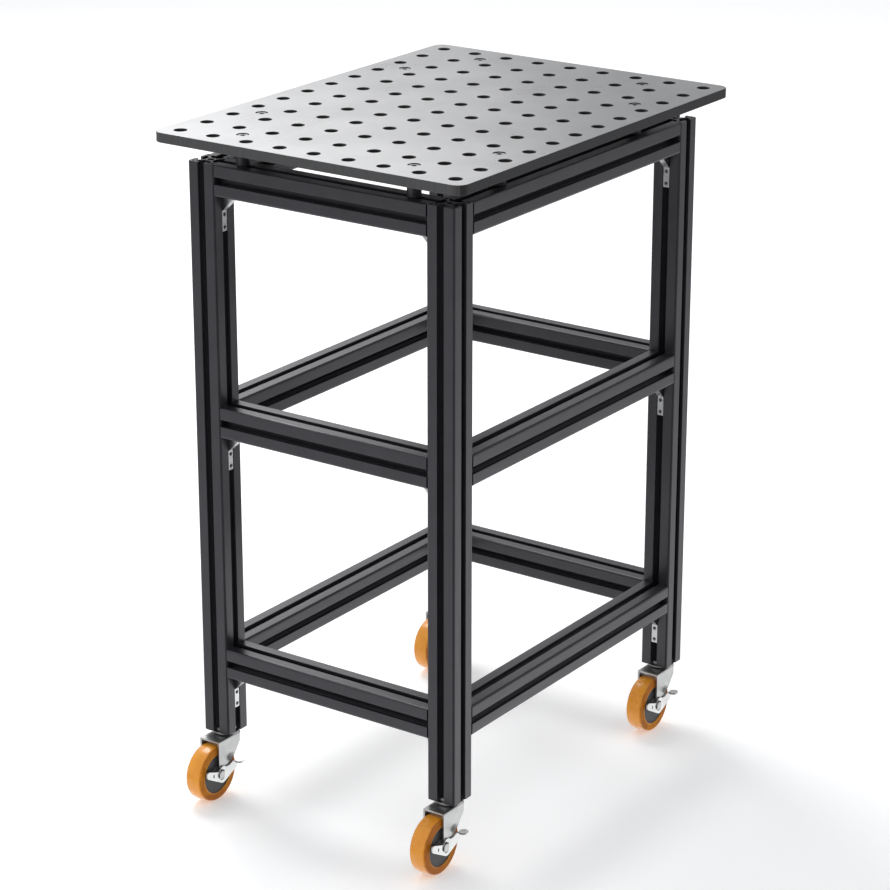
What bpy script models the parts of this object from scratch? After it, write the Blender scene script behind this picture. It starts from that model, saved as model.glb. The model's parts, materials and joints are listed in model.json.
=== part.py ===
"""Mobile welding table: a drilled plate on a slotted-profile frame that rolls on four braked swivel casters.

Metres, +Z up. The long side lies along X, the front faces -Y, and the floor is z = 0.
"""

import math

import bmesh
import bpy
from mathutils import Matrix, Vector

INCH = 0.0254

# Clearance between pieces that touch or seat on each other
SEAT_GAP = 0.0003

# Points closer than this are one point, and edges sharper than this many degrees stay sharp
MERGE_DISTANCE = 1e-6
SHARP_EDGE = 35

# Drilled plate
HOLE_PITCH = 2 * INCH
HOLE_COLUMNS = 12
HOLE_ROWS = 9
HOLE_DIAMETER = 0.625 * INCH
HOLE_SIDES = 9
EDGE_MARGIN = 1 * INCH
PLATE_THICKNESS = 0.5 * INCH
PLATE_CORNER_RADIUS = 0.6 * INCH
PLATE_CORNER_STEPS = 4

# Slotted square profile of the posts and rails
PROFILE_WIDTH = 0.040
PROFILE_CORNER_RADIUS = 0.003
PROFILE_CORNER_STEPS = 1
SLOT_MOUTH = 0.0095
SLOT_FLOOR = 0.0095
LIP_THICKNESS = 0.004
CORNER_WALL = 0.0097
CORE_WIDTH = 0.0141
CORE_BORE = 0.0084
CORE_BORE_SIDES = 8

# Frame: rail heights run from the foot of the posts to the middle of a rail
POST_LENGTH = 30 * INCH
MIDDLE_RAIL_HEIGHT = 0.430
BOTTOM_RAIL_HEIGHT = 4 * INCH

# Round spacers that carry the plate above the top rails, placed in cells of the hole pattern
SPACER_HEIGHT = 1 * INCH
SPACER_DIAMETER = 0.0175
SPACER_SIDES = 8
SPACER_SINK = 0.0005
SPACER_COLUMN = 2
SPACER_ROW = 1

# Inside corner bracket under each rail end
BRACKET_LEG = 1.875 * INCH
GUSSET_REACH = 0.022
BRACKET_FOOT_THICKNESS = 0.003

# Caster wheel
WHEEL_RADIUS = 1.5 * INCH
WHEEL_WIDTH = 0.024
TREAD_SHOULDER = 0.0034
CORE_RADIUS = 0.0264
CORE_RECESS = 0.0012
HUB_RADIUS = 0.010
WHEEL_SIDES = 20
WHEEL_HEADROOM = 0.0055
WHEEL_SIDE_ROOM = 0.001
RUNNING_GAP = 0.0003

# Caster fork, bent from sheet
FORK_SHEET = 0.0025
FORK_BEND_RADIUS = 0.003
FORK_BEND_STEPS = 2
TRAIL = 0.034
CROWN_RADIUS = 0.0177
CROWN_STEPS = 4
LEG_FRONT = 0.001
LEG_SHOULDER_DROP = 0.0131
LEG_KNEE_BACK = 0.030
LEG_KNEE_UP = 0.017
AXLE_BOSS_RADIUS = 0.007
AXLE_BOSS_STEPS = 4

# Axle riveted through the fork, with the brake lever on its -Y end
AXLE_DIAMETER = 0.008
AXLE_HEAD_RADIUS = 0.0065
AXLE_HEAD_THICKNESS = 0.002
AXLE_SIDES = 8

# Caster mount: stem in the post's bore, lugs in its slots, raceway cup, riveted kingpin
STEM_LENGTH = 0.025
CUP_DIAMETER = 0.0355
CUP_HEIGHT = 0.0041
CUP_NECK_DIAMETER = 0.030
LUG_LENGTH = 0.005
LUG_HEIGHT = 0.0035
LUG_INSET = 0.0015
KINGPIN_DIAMETER = 0.010
KINGPIN_HEAD_RADIUS = 0.008
KINGPIN_HEAD_THICKNESS = 0.0025
MOUNT_SIDES = 10

# Brake lever, pressed from sheet: its outline about the axle as (towards +X, up), then its pedal
LEVER_SHEET = 0.002
LEVER_PAD_REACH = 0.0286
LEVER_PAD_TOP = 0.0136
LEVER_PAD_BOTTOM = 0.0026
LEVER_PAD_CORNER = 0.0038
LEVER_WAIST_FRONT = 0.0045
LEVER_WAIST_UP = 0.0055
LEVER_EYE_BACK = 0.004
LEVER_EYE_UP = 0.0105
LEVER_DIP_BACK = 0.0125
LEVER_DIP_UP = 0.0075
LEVER_HEEL_BACK = 0.003
LEVER_HEEL_DROP = 0.0123
LEVER_ARM_REACH = 0.033
LEVER_ARM_TOP = 0.009
LEVER_ARM_DEPTH = 0.0075
PEDAL_LENGTH = 0.013
PEDAL_WIDTH = 0.012
PEDAL_STEPS = 8

# Surface finishes: colour, roughness, metallic
FINISHES = {
    "black_anodised": ((0.045, 0.045, 0.048), 0.45, 0.6),
    "mill_steel": ((0.36, 0.36, 0.37), 0.35, 1.0),
    "zinc_plate": ((0.62, 0.63, 0.64), 0.3, 1.0),
    "orange_tread": ((0.68, 0.27, 0.035), 0.3, 0.0),
    "grey_core": ((0.06, 0.06, 0.065), 0.5, 0.0),
}

# Derived sizes
PLATE_LENGTH = (HOLE_COLUMNS - 1) * HOLE_PITCH + 2 * EDGE_MARGIN
PLATE_WIDTH = (HOLE_ROWS - 1) * HOLE_PITCH + 2 * EDGE_MARGIN
PROFILE_HALF = PROFILE_WIDTH / 2
CAVITY_HALF = PROFILE_HALF - CORNER_WALL
CORE_HALF = CORE_WIDTH / 2
FLANK_RISE = CAVITY_HALF - SLOT_FLOOR / 2
BRACKET_DEPTH = LIP_THICKNESS + SEAT_GAP + BRACKET_FOOT_THICKNESS
FORK_INNER_HALF = WHEEL_WIDTH / 2 + WHEEL_SIDE_ROOM
FORK_OUTER_HALF = FORK_INNER_HALF + FORK_SHEET
CROWN_TOP = WHEEL_RADIUS + WHEEL_HEADROOM + FORK_SHEET
FOOT_ABOVE_AXLE = CROWN_TOP + SEAT_GAP + CUP_HEIGHT + SEAT_GAP
POST_FOOT = WHEEL_RADIUS + FOOT_ABOVE_AXLE
POST_TOP = POST_FOOT + POST_LENGTH
PLATE_BOTTOM = POST_TOP + SPACER_HEIGHT


def cell_x(column):
    """Middle of the gap between one hole column and the next, from the plate's centre."""
    return (column + 0.5 - (HOLE_COLUMNS - 1) / 2) * HOLE_PITCH


def cell_y(row):
    """Middle of the gap between one hole row and the next, from the plate's centre."""
    return (row + 0.5 - (HOLE_ROWS - 1) / 2) * HOLE_PITCH


POST_X = cell_x(HOLE_COLUMNS - 2)
POST_Y = cell_y(HOLE_ROWS - 2)
LEFT_REACH = max(PLATE_LENGTH / 2, POST_X + TRAIL + WHEEL_RADIUS)
RIGHT_REACH = PLATE_LENGTH / 2
TABLE_X = (LEFT_REACH - RIGHT_REACH) / 2
RAIL_HEIGHTS = {
    "top": POST_TOP - PROFILE_HALF,
    "middle": POST_FOOT + MIDDLE_RAIL_HEIGHT,
    "bottom": POST_FOOT + BOTTOM_RAIL_HEIGHT,
}

# Turns that stand a flat outline upright: extruded along Y, or along X
ALONG_Y = Matrix.Rotation(math.pi / 2, 4, "X")
ALONG_X = Matrix(((0, 0, 1, 0), (1, 0, 0, 0), (0, 1, 0, 0), (0, 0, 0, 1)))


def arc(centre, radius, start, end, steps):
    """Points on an arc about a centre, angles in degrees, both ends included."""
    points = []
    for step in range(steps + 1):
        angle = math.radians(start + (end - start) * step / steps)
        points.append((centre[0] + radius * math.cos(angle), centre[1] + radius * math.sin(angle)))
    return points


def circle(centre, radius, sides):
    """Corners of a regular polygon whose flats touch the circle, so a round piece fits inside it."""
    reach = radius / math.cos(math.pi / sides)
    half_step = 180 / sides
    return arc(centre, reach, half_step, 360 + half_step, sides)[:-1]


def mesh_from(shape, name):
    """Turns an edited shape into a mesh whose faces point outwards, smooth on round stretches."""
    bmesh.ops.recalc_face_normals(shape, faces=shape.faces[:])
    mesh = bpy.data.meshes.new(name)
    shape.to_mesh(mesh)
    shape.free()
    return mesh


def raise_faces(shape, faces, travel):
    """Extrudes faces of a shape by a vector."""
    raised = bmesh.ops.extrude_face_region(shape, geom=faces)
    moved = [item for item in raised["geom"] if isinstance(item, bmesh.types.BMVert)]
    bmesh.ops.translate(shape, verts=moved, vec=travel)
    shape.normal_update()


def prism(name, outline, low, high, holes=(), turn=None):
    """A flat outline, with holes, extruded from low to high along Z, then turned."""
    shape = bmesh.new()
    edges = []
    for loop in [outline, *holes]:
        corners = [shape.verts.new((x, y, low)) for x, y in loop]
        for corner, following in zip(corners, corners[1:] + corners[:1]):
            edges.append(shape.edges.new((corner, following)))
    bmesh.ops.triangle_fill(shape, use_beauty=True, edges=edges)
    raise_faces(shape, shape.faces[:], (0, 0, high - low))
    mesh = mesh_from(shape, name)
    if turn is not None:
        mesh.transform(turn)
    return mesh


def turned(name, profile, sides, loop=False):
    """A solid of revolution about Z from (radius, height) points; loop closes a ring-shaped section."""
    shape = bmesh.new()
    start = Matrix.Rotation(math.pi / sides, 3, "Z")
    corners = [shape.verts.new(start @ Vector((radius, 0, height))) for radius, height in profile]
    pairs = list(zip(corners, corners[1:]))
    if loop:
        pairs.append((corners[-1], corners[0]))
    edges = [shape.edges.new(pair) for pair in pairs]
    bmesh.ops.spin(shape, geom=corners + edges, axis=(0, 0, 1), cent=(0, 0, 0), steps=sides,
                   angle=2 * math.pi, use_merge=True)
    bmesh.ops.remove_doubles(shape, verts=shape.verts[:], dist=MERGE_DISTANCE)
    return mesh_from(shape, name)


def combine(base, tool, operation):
    """One mesh from two by a Boolean."""
    base_object = bpy.data.objects.new("base", base)
    tool_object = bpy.data.objects.new("tool", tool)
    for item in (base_object, tool_object):
        bpy.context.scene.collection.objects.link(item)
    step = base_object.modifiers.new("combine", "BOOLEAN")
    step.operation = operation
    step.object = tool_object
    graph = bpy.context.evaluated_depsgraph_get()
    result = bpy.data.meshes.new_from_object(base_object.evaluated_get(graph))
    for item in (base_object, tool_object):
        bpy.data.objects.remove(item, do_unlink=True)
    return result


def finish(name):
    """One of the plain surface finishes."""
    colour, roughness, metallic = FINISHES[name]
    material = bpy.data.materials.new(name)
    material.use_nodes = True
    surface = material.node_tree.nodes["Principled BSDF"]
    surface.inputs["Base Color"].default_value = (*colour, 1)
    surface.inputs["Roughness"].default_value = roughness
    surface.inputs["Metallic"].default_value = metallic
    return material


def place(name, mesh, material, parent, location=(0, 0, 0), turn=0.0):
    """Puts a mesh in the scene as a named piece on its parent, turned about Z."""
    mesh.shade_smooth()
    mesh.set_sharp_from_angle(angle=math.radians(SHARP_EDGE))
    if not mesh.materials:
        mesh.materials.append(material)
    piece = bpy.data.objects.new(name, mesh)
    bpy.context.scene.collection.objects.link(piece)
    piece.parent = parent
    piece.location = location
    piece.rotation_euler = (0, 0, turn)
    return piece


def guide(name, parent, location):
    """An empty that carries pieces."""
    empty = bpy.data.objects.new(name, None)
    bpy.context.scene.collection.objects.link(empty)
    empty.parent = parent
    empty.location = location
    return empty


def plate_mesh():
    """The drilled plate: a rounded rectangle with a square grid of round holes."""
    corner_x = PLATE_LENGTH / 2 - PLATE_CORNER_RADIUS
    corner_y = PLATE_WIDTH / 2 - PLATE_CORNER_RADIUS
    outline = []
    for start, side_x, side_y in ((0, 1, 1), (90, -1, 1), (180, -1, -1), (270, 1, -1)):
        centre = (side_x * corner_x, side_y * corner_y)
        outline += arc(centre, PLATE_CORNER_RADIUS, start, start + 90, PLATE_CORNER_STEPS)
    holes = []
    for column in range(HOLE_COLUMNS):
        for row in range(HOLE_ROWS):
            centre = (cell_x(column - 0.5), cell_y(row - 0.5))
            holes.append(circle(centre, HOLE_DIAMETER / 2, HOLE_SIDES))
    return prism("top_plate", outline, SEAT_GAP, PLATE_THICKNESS, holes)


def profile_section():
    """Outline of the slotted profile: one side with its corner and slot, repeated by quarter turns."""
    corner = PROFILE_HALF - PROFILE_CORNER_RADIUS
    lip_inside = PROFILE_HALF - LIP_THICKNESS
    half_slot = [
        (SLOT_MOUTH / 2, PROFILE_HALF),
        (SLOT_MOUTH / 2, lip_inside),
        (CAVITY_HALF, lip_inside),
        (CAVITY_HALF, CORE_HALF + FLANK_RISE),
        (SLOT_FLOOR / 2, CORE_HALF),
    ]
    side = arc((corner, corner), PROFILE_CORNER_RADIUS, 0, 90, PROFILE_CORNER_STEPS)
    side += half_slot
    side += [(-x, y) for x, y in reversed(half_slot)]
    outline = []
    for quarter in range(4):
        turn = Matrix.Rotation(quarter * math.pi / 2, 2)
        outline += [tuple(turn @ Vector(point)) for point in side]
    return outline


def profile_mesh(name, length, turn=None):
    """A length of profile with its round core bore, centred on its middle."""
    bore = circle((0, 0), CORE_BORE / 2, CORE_BORE_SIDES)
    return prism(name, profile_section(), -length / 2, length / 2, [bore], turn)


def top_rail_mesh(name, length, spacer_places):
    """A top rail along X with the round spacers that stand on it."""
    mesh = profile_mesh(name, length, ALONG_X)
    for place_x in spacer_places:
        ring = [(0, PROFILE_HALF - SPACER_SINK), (SPACER_DIAMETER / 2, PROFILE_HALF - SPACER_SINK),
                (SPACER_DIAMETER / 2, PROFILE_HALF + SPACER_HEIGHT), (0, PROFILE_HALF + SPACER_HEIGHT)]
        spacer = turned("spacer", ring, SPACER_SIDES)
        spacer.transform(Matrix.Translation((place_x, 0, 0)))
        mesh = combine(mesh, spacer, "UNION")
    return mesh


def bracket_mesh():
    """An inside corner bracket: x = 0 is the post's face, z = 0 the rail's underside.

    Each leg fills a slot mouth flush with the face, and its wider foot holds behind the lips.
    """
    neck_half = SLOT_MOUTH / 2 - SEAT_GAP
    flank_limit = SLOT_FLOOR / 2 + PROFILE_HALF - BRACKET_DEPTH - CORE_HALF
    foot_half = min(CAVITY_HALF, flank_limit) - 2 * SEAT_GAP
    foot_top = LIP_THICKNESS + SEAT_GAP
    rail_start = 2 * SEAT_GAP
    shape = bmesh.new()

    def corner(x, z):
        return shape.verts.new((x, -neck_half, z))

    inner, gusset_post, gusset_rail = corner(0, 0), corner(0, -GUSSET_REACH), corner(GUSSET_REACH, 0)
    post_tip, rail_tip = corner(0, -BRACKET_LEG), corner(BRACKET_LEG, 0)
    post_lip = [corner(-foot_top, 0), corner(-foot_top, -BRACKET_LEG)]
    post_back = [corner(-BRACKET_DEPTH, -BRACKET_LEG), corner(-BRACKET_DEPTH, 0)]
    rail_root = corner(0, foot_top)
    rail_lip = [corner(BRACKET_LEG, foot_top), corner(rail_start, foot_top)]
    rail_back = [corner(rail_start, BRACKET_DEPTH), corner(BRACKET_LEG, BRACKET_DEPTH)]
    shape.faces.new([inner, gusset_post, gusset_rail])
    shape.faces.new([inner, *post_lip, post_tip, gusset_post])
    shape.faces.new([inner, gusset_rail, rail_tip, *rail_lip, rail_root])
    shape.faces.new([*post_lip, *post_back])
    shape.faces.new([*rail_lip, *rail_back])
    raise_faces(shape, shape.faces[:], (0, 2 * neck_half, 0))
    feet = []
    for face in shape.faces:
        middle = face.calc_center_median()
        behind_lip = middle.x < -foot_top or middle.z > foot_top
        if behind_lip and abs(face.normal.y) > max(abs(face.normal.x), abs(face.normal.z)):
            feet.append(face)
    for face in feet:
        outward = math.copysign(foot_half - neck_half, face.calc_center_median().y)
        raise_faces(shape, [face], (0, outward, 0))
    bmesh.ops.delete(shape, geom=feet, context="FACES_ONLY")
    return mesh_from(shape, "bracket")


def wheel_mesh(tread, core):
    """The wheel about its axle along Y: a moulded core in a bonded tread with rounded shoulders."""
    facet = 1 / math.cos(math.pi / WHEEL_SIDES)
    side = WHEEL_WIDTH / 2
    core_side = side - CORE_RECESS
    hub_side = FORK_INNER_HALF - RUNNING_GAP
    bore = AXLE_DIAMETER / 2 + RUNNING_GAP
    half = [
        (bore, hub_side),
        (HUB_RADIUS, hub_side),
        (HUB_RADIUS, core_side),
        (CORE_RADIUS, core_side),
        (CORE_RADIUS, side),
        (WHEEL_RADIUS - TREAD_SHOULDER, side),
        (WHEEL_RADIUS, side - TREAD_SHOULDER),
    ]
    section = [(radius * facet, height) for radius, height in half]
    section += [(radius, -height) for radius, height in reversed(section)]
    mesh = turned("wheel", section, WHEEL_SIDES, loop=True)
    mesh.materials.append(tread)
    mesh.materials.append(core)
    for face in mesh.polygons:
        if math.hypot(face.center.x, face.center.y) < CORE_RADIUS:
            face.material_index = 1
    mesh.transform(ALONG_Y)
    return mesh


def fork_channel():
    """The bent sheet before trimming: a U section, crown on top, running along X."""
    low = -AXLE_BOSS_RADIUS - FORK_SHEET
    section = [(FORK_OUTER_HALF, low)]
    outer_bend = (FORK_OUTER_HALF - FORK_BEND_RADIUS, CROWN_TOP - FORK_BEND_RADIUS)
    section += arc(outer_bend, FORK_BEND_RADIUS, 0, 90, FORK_BEND_STEPS)
    section += [(-y, z) for y, z in reversed(section)]
    inside = [(FORK_INNER_HALF, low)]
    inside += arc(outer_bend, FORK_BEND_RADIUS - FORK_SHEET, 0, 90, FORK_BEND_STEPS)
    inside += [(-y, z) for y, z in reversed(inside)]
    section += reversed(inside)
    back = CROWN_RADIUS + FORK_SHEET
    front = -TRAIL - 2 * AXLE_BOSS_RADIUS
    return prism("fork", section, front, back, turn=ALONG_X)


def fork_side():
    """Side outline of the fork: crown, shoulder, slanted back edge, boss round the axle, upright front."""
    leg_back = math.sqrt(max(CROWN_RADIUS**2 - FORK_OUTER_HALF**2, 0))
    crown_under = CROWN_TOP - FORK_BEND_RADIUS
    axle = (-TRAIL, 0)
    knee = (LEG_KNEE_BACK - TRAIL, LEG_KNEE_UP)
    knee_distance = math.hypot(LEG_KNEE_BACK, LEG_KNEE_UP)
    tangent = math.degrees(math.atan2(LEG_KNEE_UP, LEG_KNEE_BACK)
                           - math.acos(AXLE_BOSS_RADIUS / knee_distance))
    front_angle = math.degrees(math.acos(-LEG_FRONT / AXLE_BOSS_RADIUS))
    above = CROWN_TOP + FORK_SHEET
    beyond = CROWN_RADIUS + FORK_SHEET
    outline = [(-TRAIL - LEG_FRONT, above), (beyond, above), (beyond, crown_under), (leg_back, crown_under)]
    outline += [(leg_back, CROWN_TOP - LEG_SHOULDER_DROP), knee]
    outline += reversed(arc(axle, AXLE_BOSS_RADIUS, front_angle - 360, tangent, AXLE_BOSS_STEPS))
    reach = FORK_OUTER_HALF + FORK_SHEET
    return prism("side", outline, -reach, reach, turn=ALONG_Y)


def fork_plan():
    """Plan outline of the fork: straight sides that end in a round about the swivel axis."""
    half_angle = math.degrees(math.asin(min(FORK_OUTER_HALF / CROWN_RADIUS, 1)))
    front = -TRAIL - 2 * AXLE_BOSS_RADIUS
    reach = FORK_OUTER_HALF + FORK_SHEET
    outline = [(front, reach), (front, -reach), (0, -reach)]
    outline += arc((0, 0), CROWN_RADIUS, -half_angle, half_angle, CROWN_STEPS)
    outline += [(0, reach)]
    return prism("plan", outline, -2 * AXLE_BOSS_RADIUS, CROWN_TOP + FORK_SHEET)


def axle_mesh():
    """The axle along Y with a round head at each end; the brake lever turns between fork and head."""
    radius = AXLE_DIAMETER / 2
    rear = FORK_OUTER_HALF + AXLE_HEAD_THICKNESS
    front = FORK_OUTER_HALF + 2 * SEAT_GAP + LEVER_SHEET
    profile = [
        (0, -rear),
        (AXLE_HEAD_RADIUS, -rear),
        (AXLE_HEAD_RADIUS, -FORK_OUTER_HALF + FORK_SHEET / 2),
        (radius, -FORK_OUTER_HALF + FORK_SHEET / 2),
        (radius, front),
        (AXLE_HEAD_RADIUS, front),
        (AXLE_HEAD_RADIUS, front + AXLE_HEAD_THICKNESS),
        (0, front + AXLE_HEAD_THICKNESS),
    ]
    mesh = turned("axle", profile, AXLE_SIDES)
    mesh.transform(Matrix.Translation((-TRAIL, 0, 0)) @ ALONG_Y)
    return mesh


def fork_mesh():
    """The fork about its swivel axis, with the axle's height at z = 0."""
    mesh = combine(fork_channel(), fork_side(), "INTERSECT")
    mesh = combine(mesh, fork_plan(), "INTERSECT")
    pin_hole = circle((0, 0), KINGPIN_DIAMETER / 2 + RUNNING_GAP, MOUNT_SIDES)
    mesh = combine(mesh, prism("pin_hole", pin_hole, 0, 2 * CROWN_TOP), "DIFFERENCE")
    return combine(mesh, axle_mesh(), "UNION")


def mount_mesh():
    """The caster's mount about the post's axis, with the post's foot at z = 0."""
    cup_top = -SEAT_GAP
    cup_foot = cup_top - CUP_HEIGHT
    head_top = cup_foot - FORK_SHEET - 2 * SEAT_GAP
    stem = CORE_BORE / 2 * math.cos(math.pi / CORE_BORE_SIDES) - SEAT_GAP
    profile = [
        (0, STEM_LENGTH),
        (stem, STEM_LENGTH),
        (stem, cup_top),
        (CUP_NECK_DIAMETER / 2, cup_top),
        (CUP_DIAMETER / 2, cup_top - CUP_HEIGHT / 2),
        (CUP_DIAMETER / 2, cup_foot),
        (KINGPIN_DIAMETER / 2, cup_foot),
        (KINGPIN_DIAMETER / 2, head_top),
        (KINGPIN_HEAD_RADIUS, head_top),
        (KINGPIN_HEAD_RADIUS, head_top - KINGPIN_HEAD_THICKNESS),
        (0, head_top - KINGPIN_HEAD_THICKNESS),
    ]
    mesh = turned("mount", profile, MOUNT_SIDES)
    lug_half = SLOT_MOUTH / 2 - SEAT_GAP
    lug_out = CUP_NECK_DIAMETER / 2 - LUG_INSET
    lug_in = lug_out - LUG_LENGTH
    lug_outline = [(lug_in, -lug_half), (lug_out, -lug_half), (lug_out, lug_half), (lug_in, lug_half)]
    for quarter in range(4):
        lug = prism("lug", lug_outline, cup_top - CUP_HEIGHT / 4, LUG_HEIGHT)
        lug.transform(Matrix.Rotation(quarter * math.pi / 2, 4, "Z"))
        mesh = combine(mesh, lug, "UNION")
    return mesh


def lever_mesh():
    """The brake lever about the axle along Y: a flat pad, an eye on the axle and an arm with its pedal."""
    pad_corner_x = -LEVER_PAD_REACH + LEVER_PAD_CORNER
    outline = arc((pad_corner_x, LEVER_PAD_BOTTOM + LEVER_PAD_CORNER), LEVER_PAD_CORNER, 270, 180, 2)
    outline += arc((pad_corner_x, LEVER_PAD_TOP - LEVER_PAD_CORNER), LEVER_PAD_CORNER, 180, 90, 2)
    outline += [
        (-LEVER_WAIST_FRONT, LEVER_WAIST_UP),
        (LEVER_EYE_BACK, LEVER_EYE_UP),
        (LEVER_DIP_BACK, LEVER_DIP_UP),
        (LEVER_ARM_REACH, LEVER_ARM_TOP),
        (LEVER_ARM_REACH, LEVER_ARM_TOP - LEVER_ARM_DEPTH),
        (LEVER_HEEL_BACK, -LEVER_HEEL_DROP),
    ]
    eye = circle((0, 0), AXLE_DIAMETER / 2 + RUNNING_GAP, AXLE_SIDES)
    inside = FORK_OUTER_HALF + SEAT_GAP
    outside = inside + LEVER_SHEET
    mesh = prism("brake_lever", outline, inside, outside, [eye], turn=ALONG_Y)
    pedal_centre = (LEVER_ARM_REACH, -inside - PEDAL_WIDTH / 2)
    pedal_outline = []
    for x, y in arc((0, 0), 1, 0, 360, PEDAL_STEPS)[:-1]:
        pedal_outline.append((pedal_centre[0] + x * PEDAL_LENGTH / 2, pedal_centre[1] + y * PEDAL_WIDTH / 2))
    pedal = prism("pedal", pedal_outline, LEVER_ARM_TOP - LEVER_SHEET / 2, LEVER_ARM_TOP + LEVER_SHEET / 2)
    return combine(mesh, pedal, "UNION")


def build_frame(table, black, zinc):
    """Posts, rails with their spacers, and the corner brackets under every rail end."""
    post = profile_mesh("post", POST_LENGTH)
    for front, side_y in (("front", -1), ("rear", 1)):
        for left, side_x in (("left", -1), ("right", 1)):
            middle = (side_x * POST_X, side_y * POST_Y, POST_FOOT + POST_LENGTH / 2)
            place(f"post_{front}_{left}", post, black, table, middle)
    long_length = 2 * (POST_X - PROFILE_HALF - SEAT_GAP)
    short_length = 2 * (POST_Y - PROFILE_HALF - SEAT_GAP)
    long_spacer = cell_x(SPACER_COLUMN)
    short_spacer = cell_y(SPACER_ROW)
    rails = {
        "long": profile_mesh("long_rail", long_length, ALONG_X),
        "short": profile_mesh("short_rail", short_length, ALONG_X),
        "top_long": top_rail_mesh("top_long_rail", long_length, (long_spacer, -long_spacer)),
        "top_short": top_rail_mesh("top_short_rail", short_length, (short_spacer, -short_spacer)),
    }
    bracket = bracket_mesh()
    quarter = math.pi / 2
    for level, height in RAIL_HEIGHTS.items():
        kind = "top_" if level == "top" else ""
        underside = height - PROFILE_HALF
        for front, side_y in (("front", -1), ("rear", 1)):
            place(f"rail_{level}_{front}", rails[kind + "long"], black, table, (0, side_y * POST_Y, height))
            for left, side_x in (("left", -1), ("right", 1)):
                corner = (side_x * (POST_X - PROFILE_HALF), side_y * POST_Y, underside)
                turn = 0 if side_x < 0 else 2 * quarter
                place(f"bracket_{level}_{front}_{left}", bracket, zinc, table, corner, turn)
        for left, side_x in (("left", -1), ("right", 1)):
            spot = (side_x * POST_X, 0, height)
            place(f"rail_{level}_{left}", rails[kind + "short"], black, table, spot, quarter)
            for front, side_y in (("front", -1), ("rear", 1)):
                corner = (side_x * POST_X, side_y * (POST_Y - PROFILE_HALF), underside)
                turn = quarter if side_y < 0 else -quarter
                place(f"bracket_{level}_{left}_{front}", bracket, zinc, table, corner, turn)


def build_casters(table, zinc, tread, core):
    """Four alike casters, each on an empty at the swivel axis, level with the axle."""
    mount = mount_mesh()
    fork = fork_mesh()
    wheel = wheel_mesh(tread, core)
    lever = lever_mesh()
    for front, side_y in (("front", -1), ("rear", 1)):
        for left, side_x in (("left", -1), ("right", 1)):
            name = f"caster_{front}_{left}"
            swivel = guide(f"{name}_swivel", table, (side_x * POST_X, side_y * POST_Y, WHEEL_RADIUS))
            axle = guide(f"{name}_axle", swivel, (-TRAIL, 0, 0))
            place(f"{name}_mount", mount, zinc, swivel, (0, 0, FOOT_ABOVE_AXLE))
            place(f"{name}_fork", fork, zinc, swivel)
            place(f"{name}_wheel", wheel, tread, axle)
            place(f"{name}_brake_lever", lever, zinc, axle)


def build():
    """Clears the scene and builds the table."""
    for item in list(bpy.data.objects):
        bpy.data.objects.remove(item, do_unlink=True)
    black = finish("black_anodised")
    steel = finish("mill_steel")
    zinc = finish("zinc_plate")
    tread = finish("orange_tread")
    core = finish("grey_core")
    table = guide("table_centre", None, (TABLE_X, 0, 0))
    place("top_plate", plate_mesh(), steel, table, (0, 0, PLATE_BOTTOM))
    build_frame(table, black, zinc)
    build_casters(table, zinc, tread, core)


build()
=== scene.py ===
# %% [markdown]
# # Dressing a rolling welding table
#
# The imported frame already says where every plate, rail, bracket and wheel sits and how the casters
# move. This lesson dresses it. Each step looks at one piece or finish of the real table, says how it
# could be made in Blender, and why one way was chosen.

# %% Load the frame
import json
import math

import bmesh
import bpy
from mathutils import Matrix, Quaternion, Vector


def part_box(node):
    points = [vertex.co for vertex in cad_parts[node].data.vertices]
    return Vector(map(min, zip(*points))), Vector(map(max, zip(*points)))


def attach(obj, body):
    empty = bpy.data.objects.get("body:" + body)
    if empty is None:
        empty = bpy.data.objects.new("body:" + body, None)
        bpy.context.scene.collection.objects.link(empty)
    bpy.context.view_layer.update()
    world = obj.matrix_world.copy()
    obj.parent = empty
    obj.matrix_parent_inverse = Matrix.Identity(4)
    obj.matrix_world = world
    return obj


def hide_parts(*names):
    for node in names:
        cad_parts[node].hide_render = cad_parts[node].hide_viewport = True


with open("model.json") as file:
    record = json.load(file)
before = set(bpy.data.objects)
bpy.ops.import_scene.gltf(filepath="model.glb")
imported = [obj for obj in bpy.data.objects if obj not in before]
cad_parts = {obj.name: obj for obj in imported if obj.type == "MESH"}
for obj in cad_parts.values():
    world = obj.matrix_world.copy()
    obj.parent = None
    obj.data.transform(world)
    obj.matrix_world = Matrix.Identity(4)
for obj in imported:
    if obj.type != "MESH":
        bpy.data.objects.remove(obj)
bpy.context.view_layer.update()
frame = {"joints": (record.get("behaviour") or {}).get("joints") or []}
scene = bpy.context.scene
CORNERS = [f"{front}_{left}" for front in ("front", "rear") for left in ("left", "right")]
LEVELS = ("top", "middle", "bottom")
SIDES = ("front", "rear", "left", "right")

# %% [markdown]
# ## First helpers
#
# Nearly everything below is an object in the scene or a node in a tree. One helper adds an object.
# Another adds a node, sets its options and feeds each input with a value or with another node's output,
# so that every tree reads as what feeds what.

# %% First helpers
def add_object(name, data):
    """A new object in the scene."""
    item = bpy.data.objects.new(name, data)
    scene.collection.objects.link(item)
    return item


def add_node(tree, kind, feeds=None, **options):
    """A new node with its options; each input is fed by another node's output or holds a value."""
    made = tree.nodes.new(kind)
    for option, value in options.items():
        setattr(made, option, value)
    for socket, source in (feeds or {}).items():
        if isinstance(source, bpy.types.NodeSocket):
            tree.links.new(source, made.inputs[socket])
        else:
            made.inputs[socket].default_value = source
    return made


def calculate(tree, operation, first, second):
    """Two values or outputs joined by a sum or product."""
    return add_node(tree, "ShaderNodeMath", {0: first, 1: second}, operation=operation).outputs["Value"]


def ranged(tree, source, start, end, low, high, fade="LINEAR"):
    """An output carried over from one range to another."""
    feeds = {"Value": source, "From Min": start, "From Max": end, "To Min": low, "To Max": high}
    return add_node(tree, "ShaderNodeMapRange", feeds, interpolation_type=fade).outputs["Result"]


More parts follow.
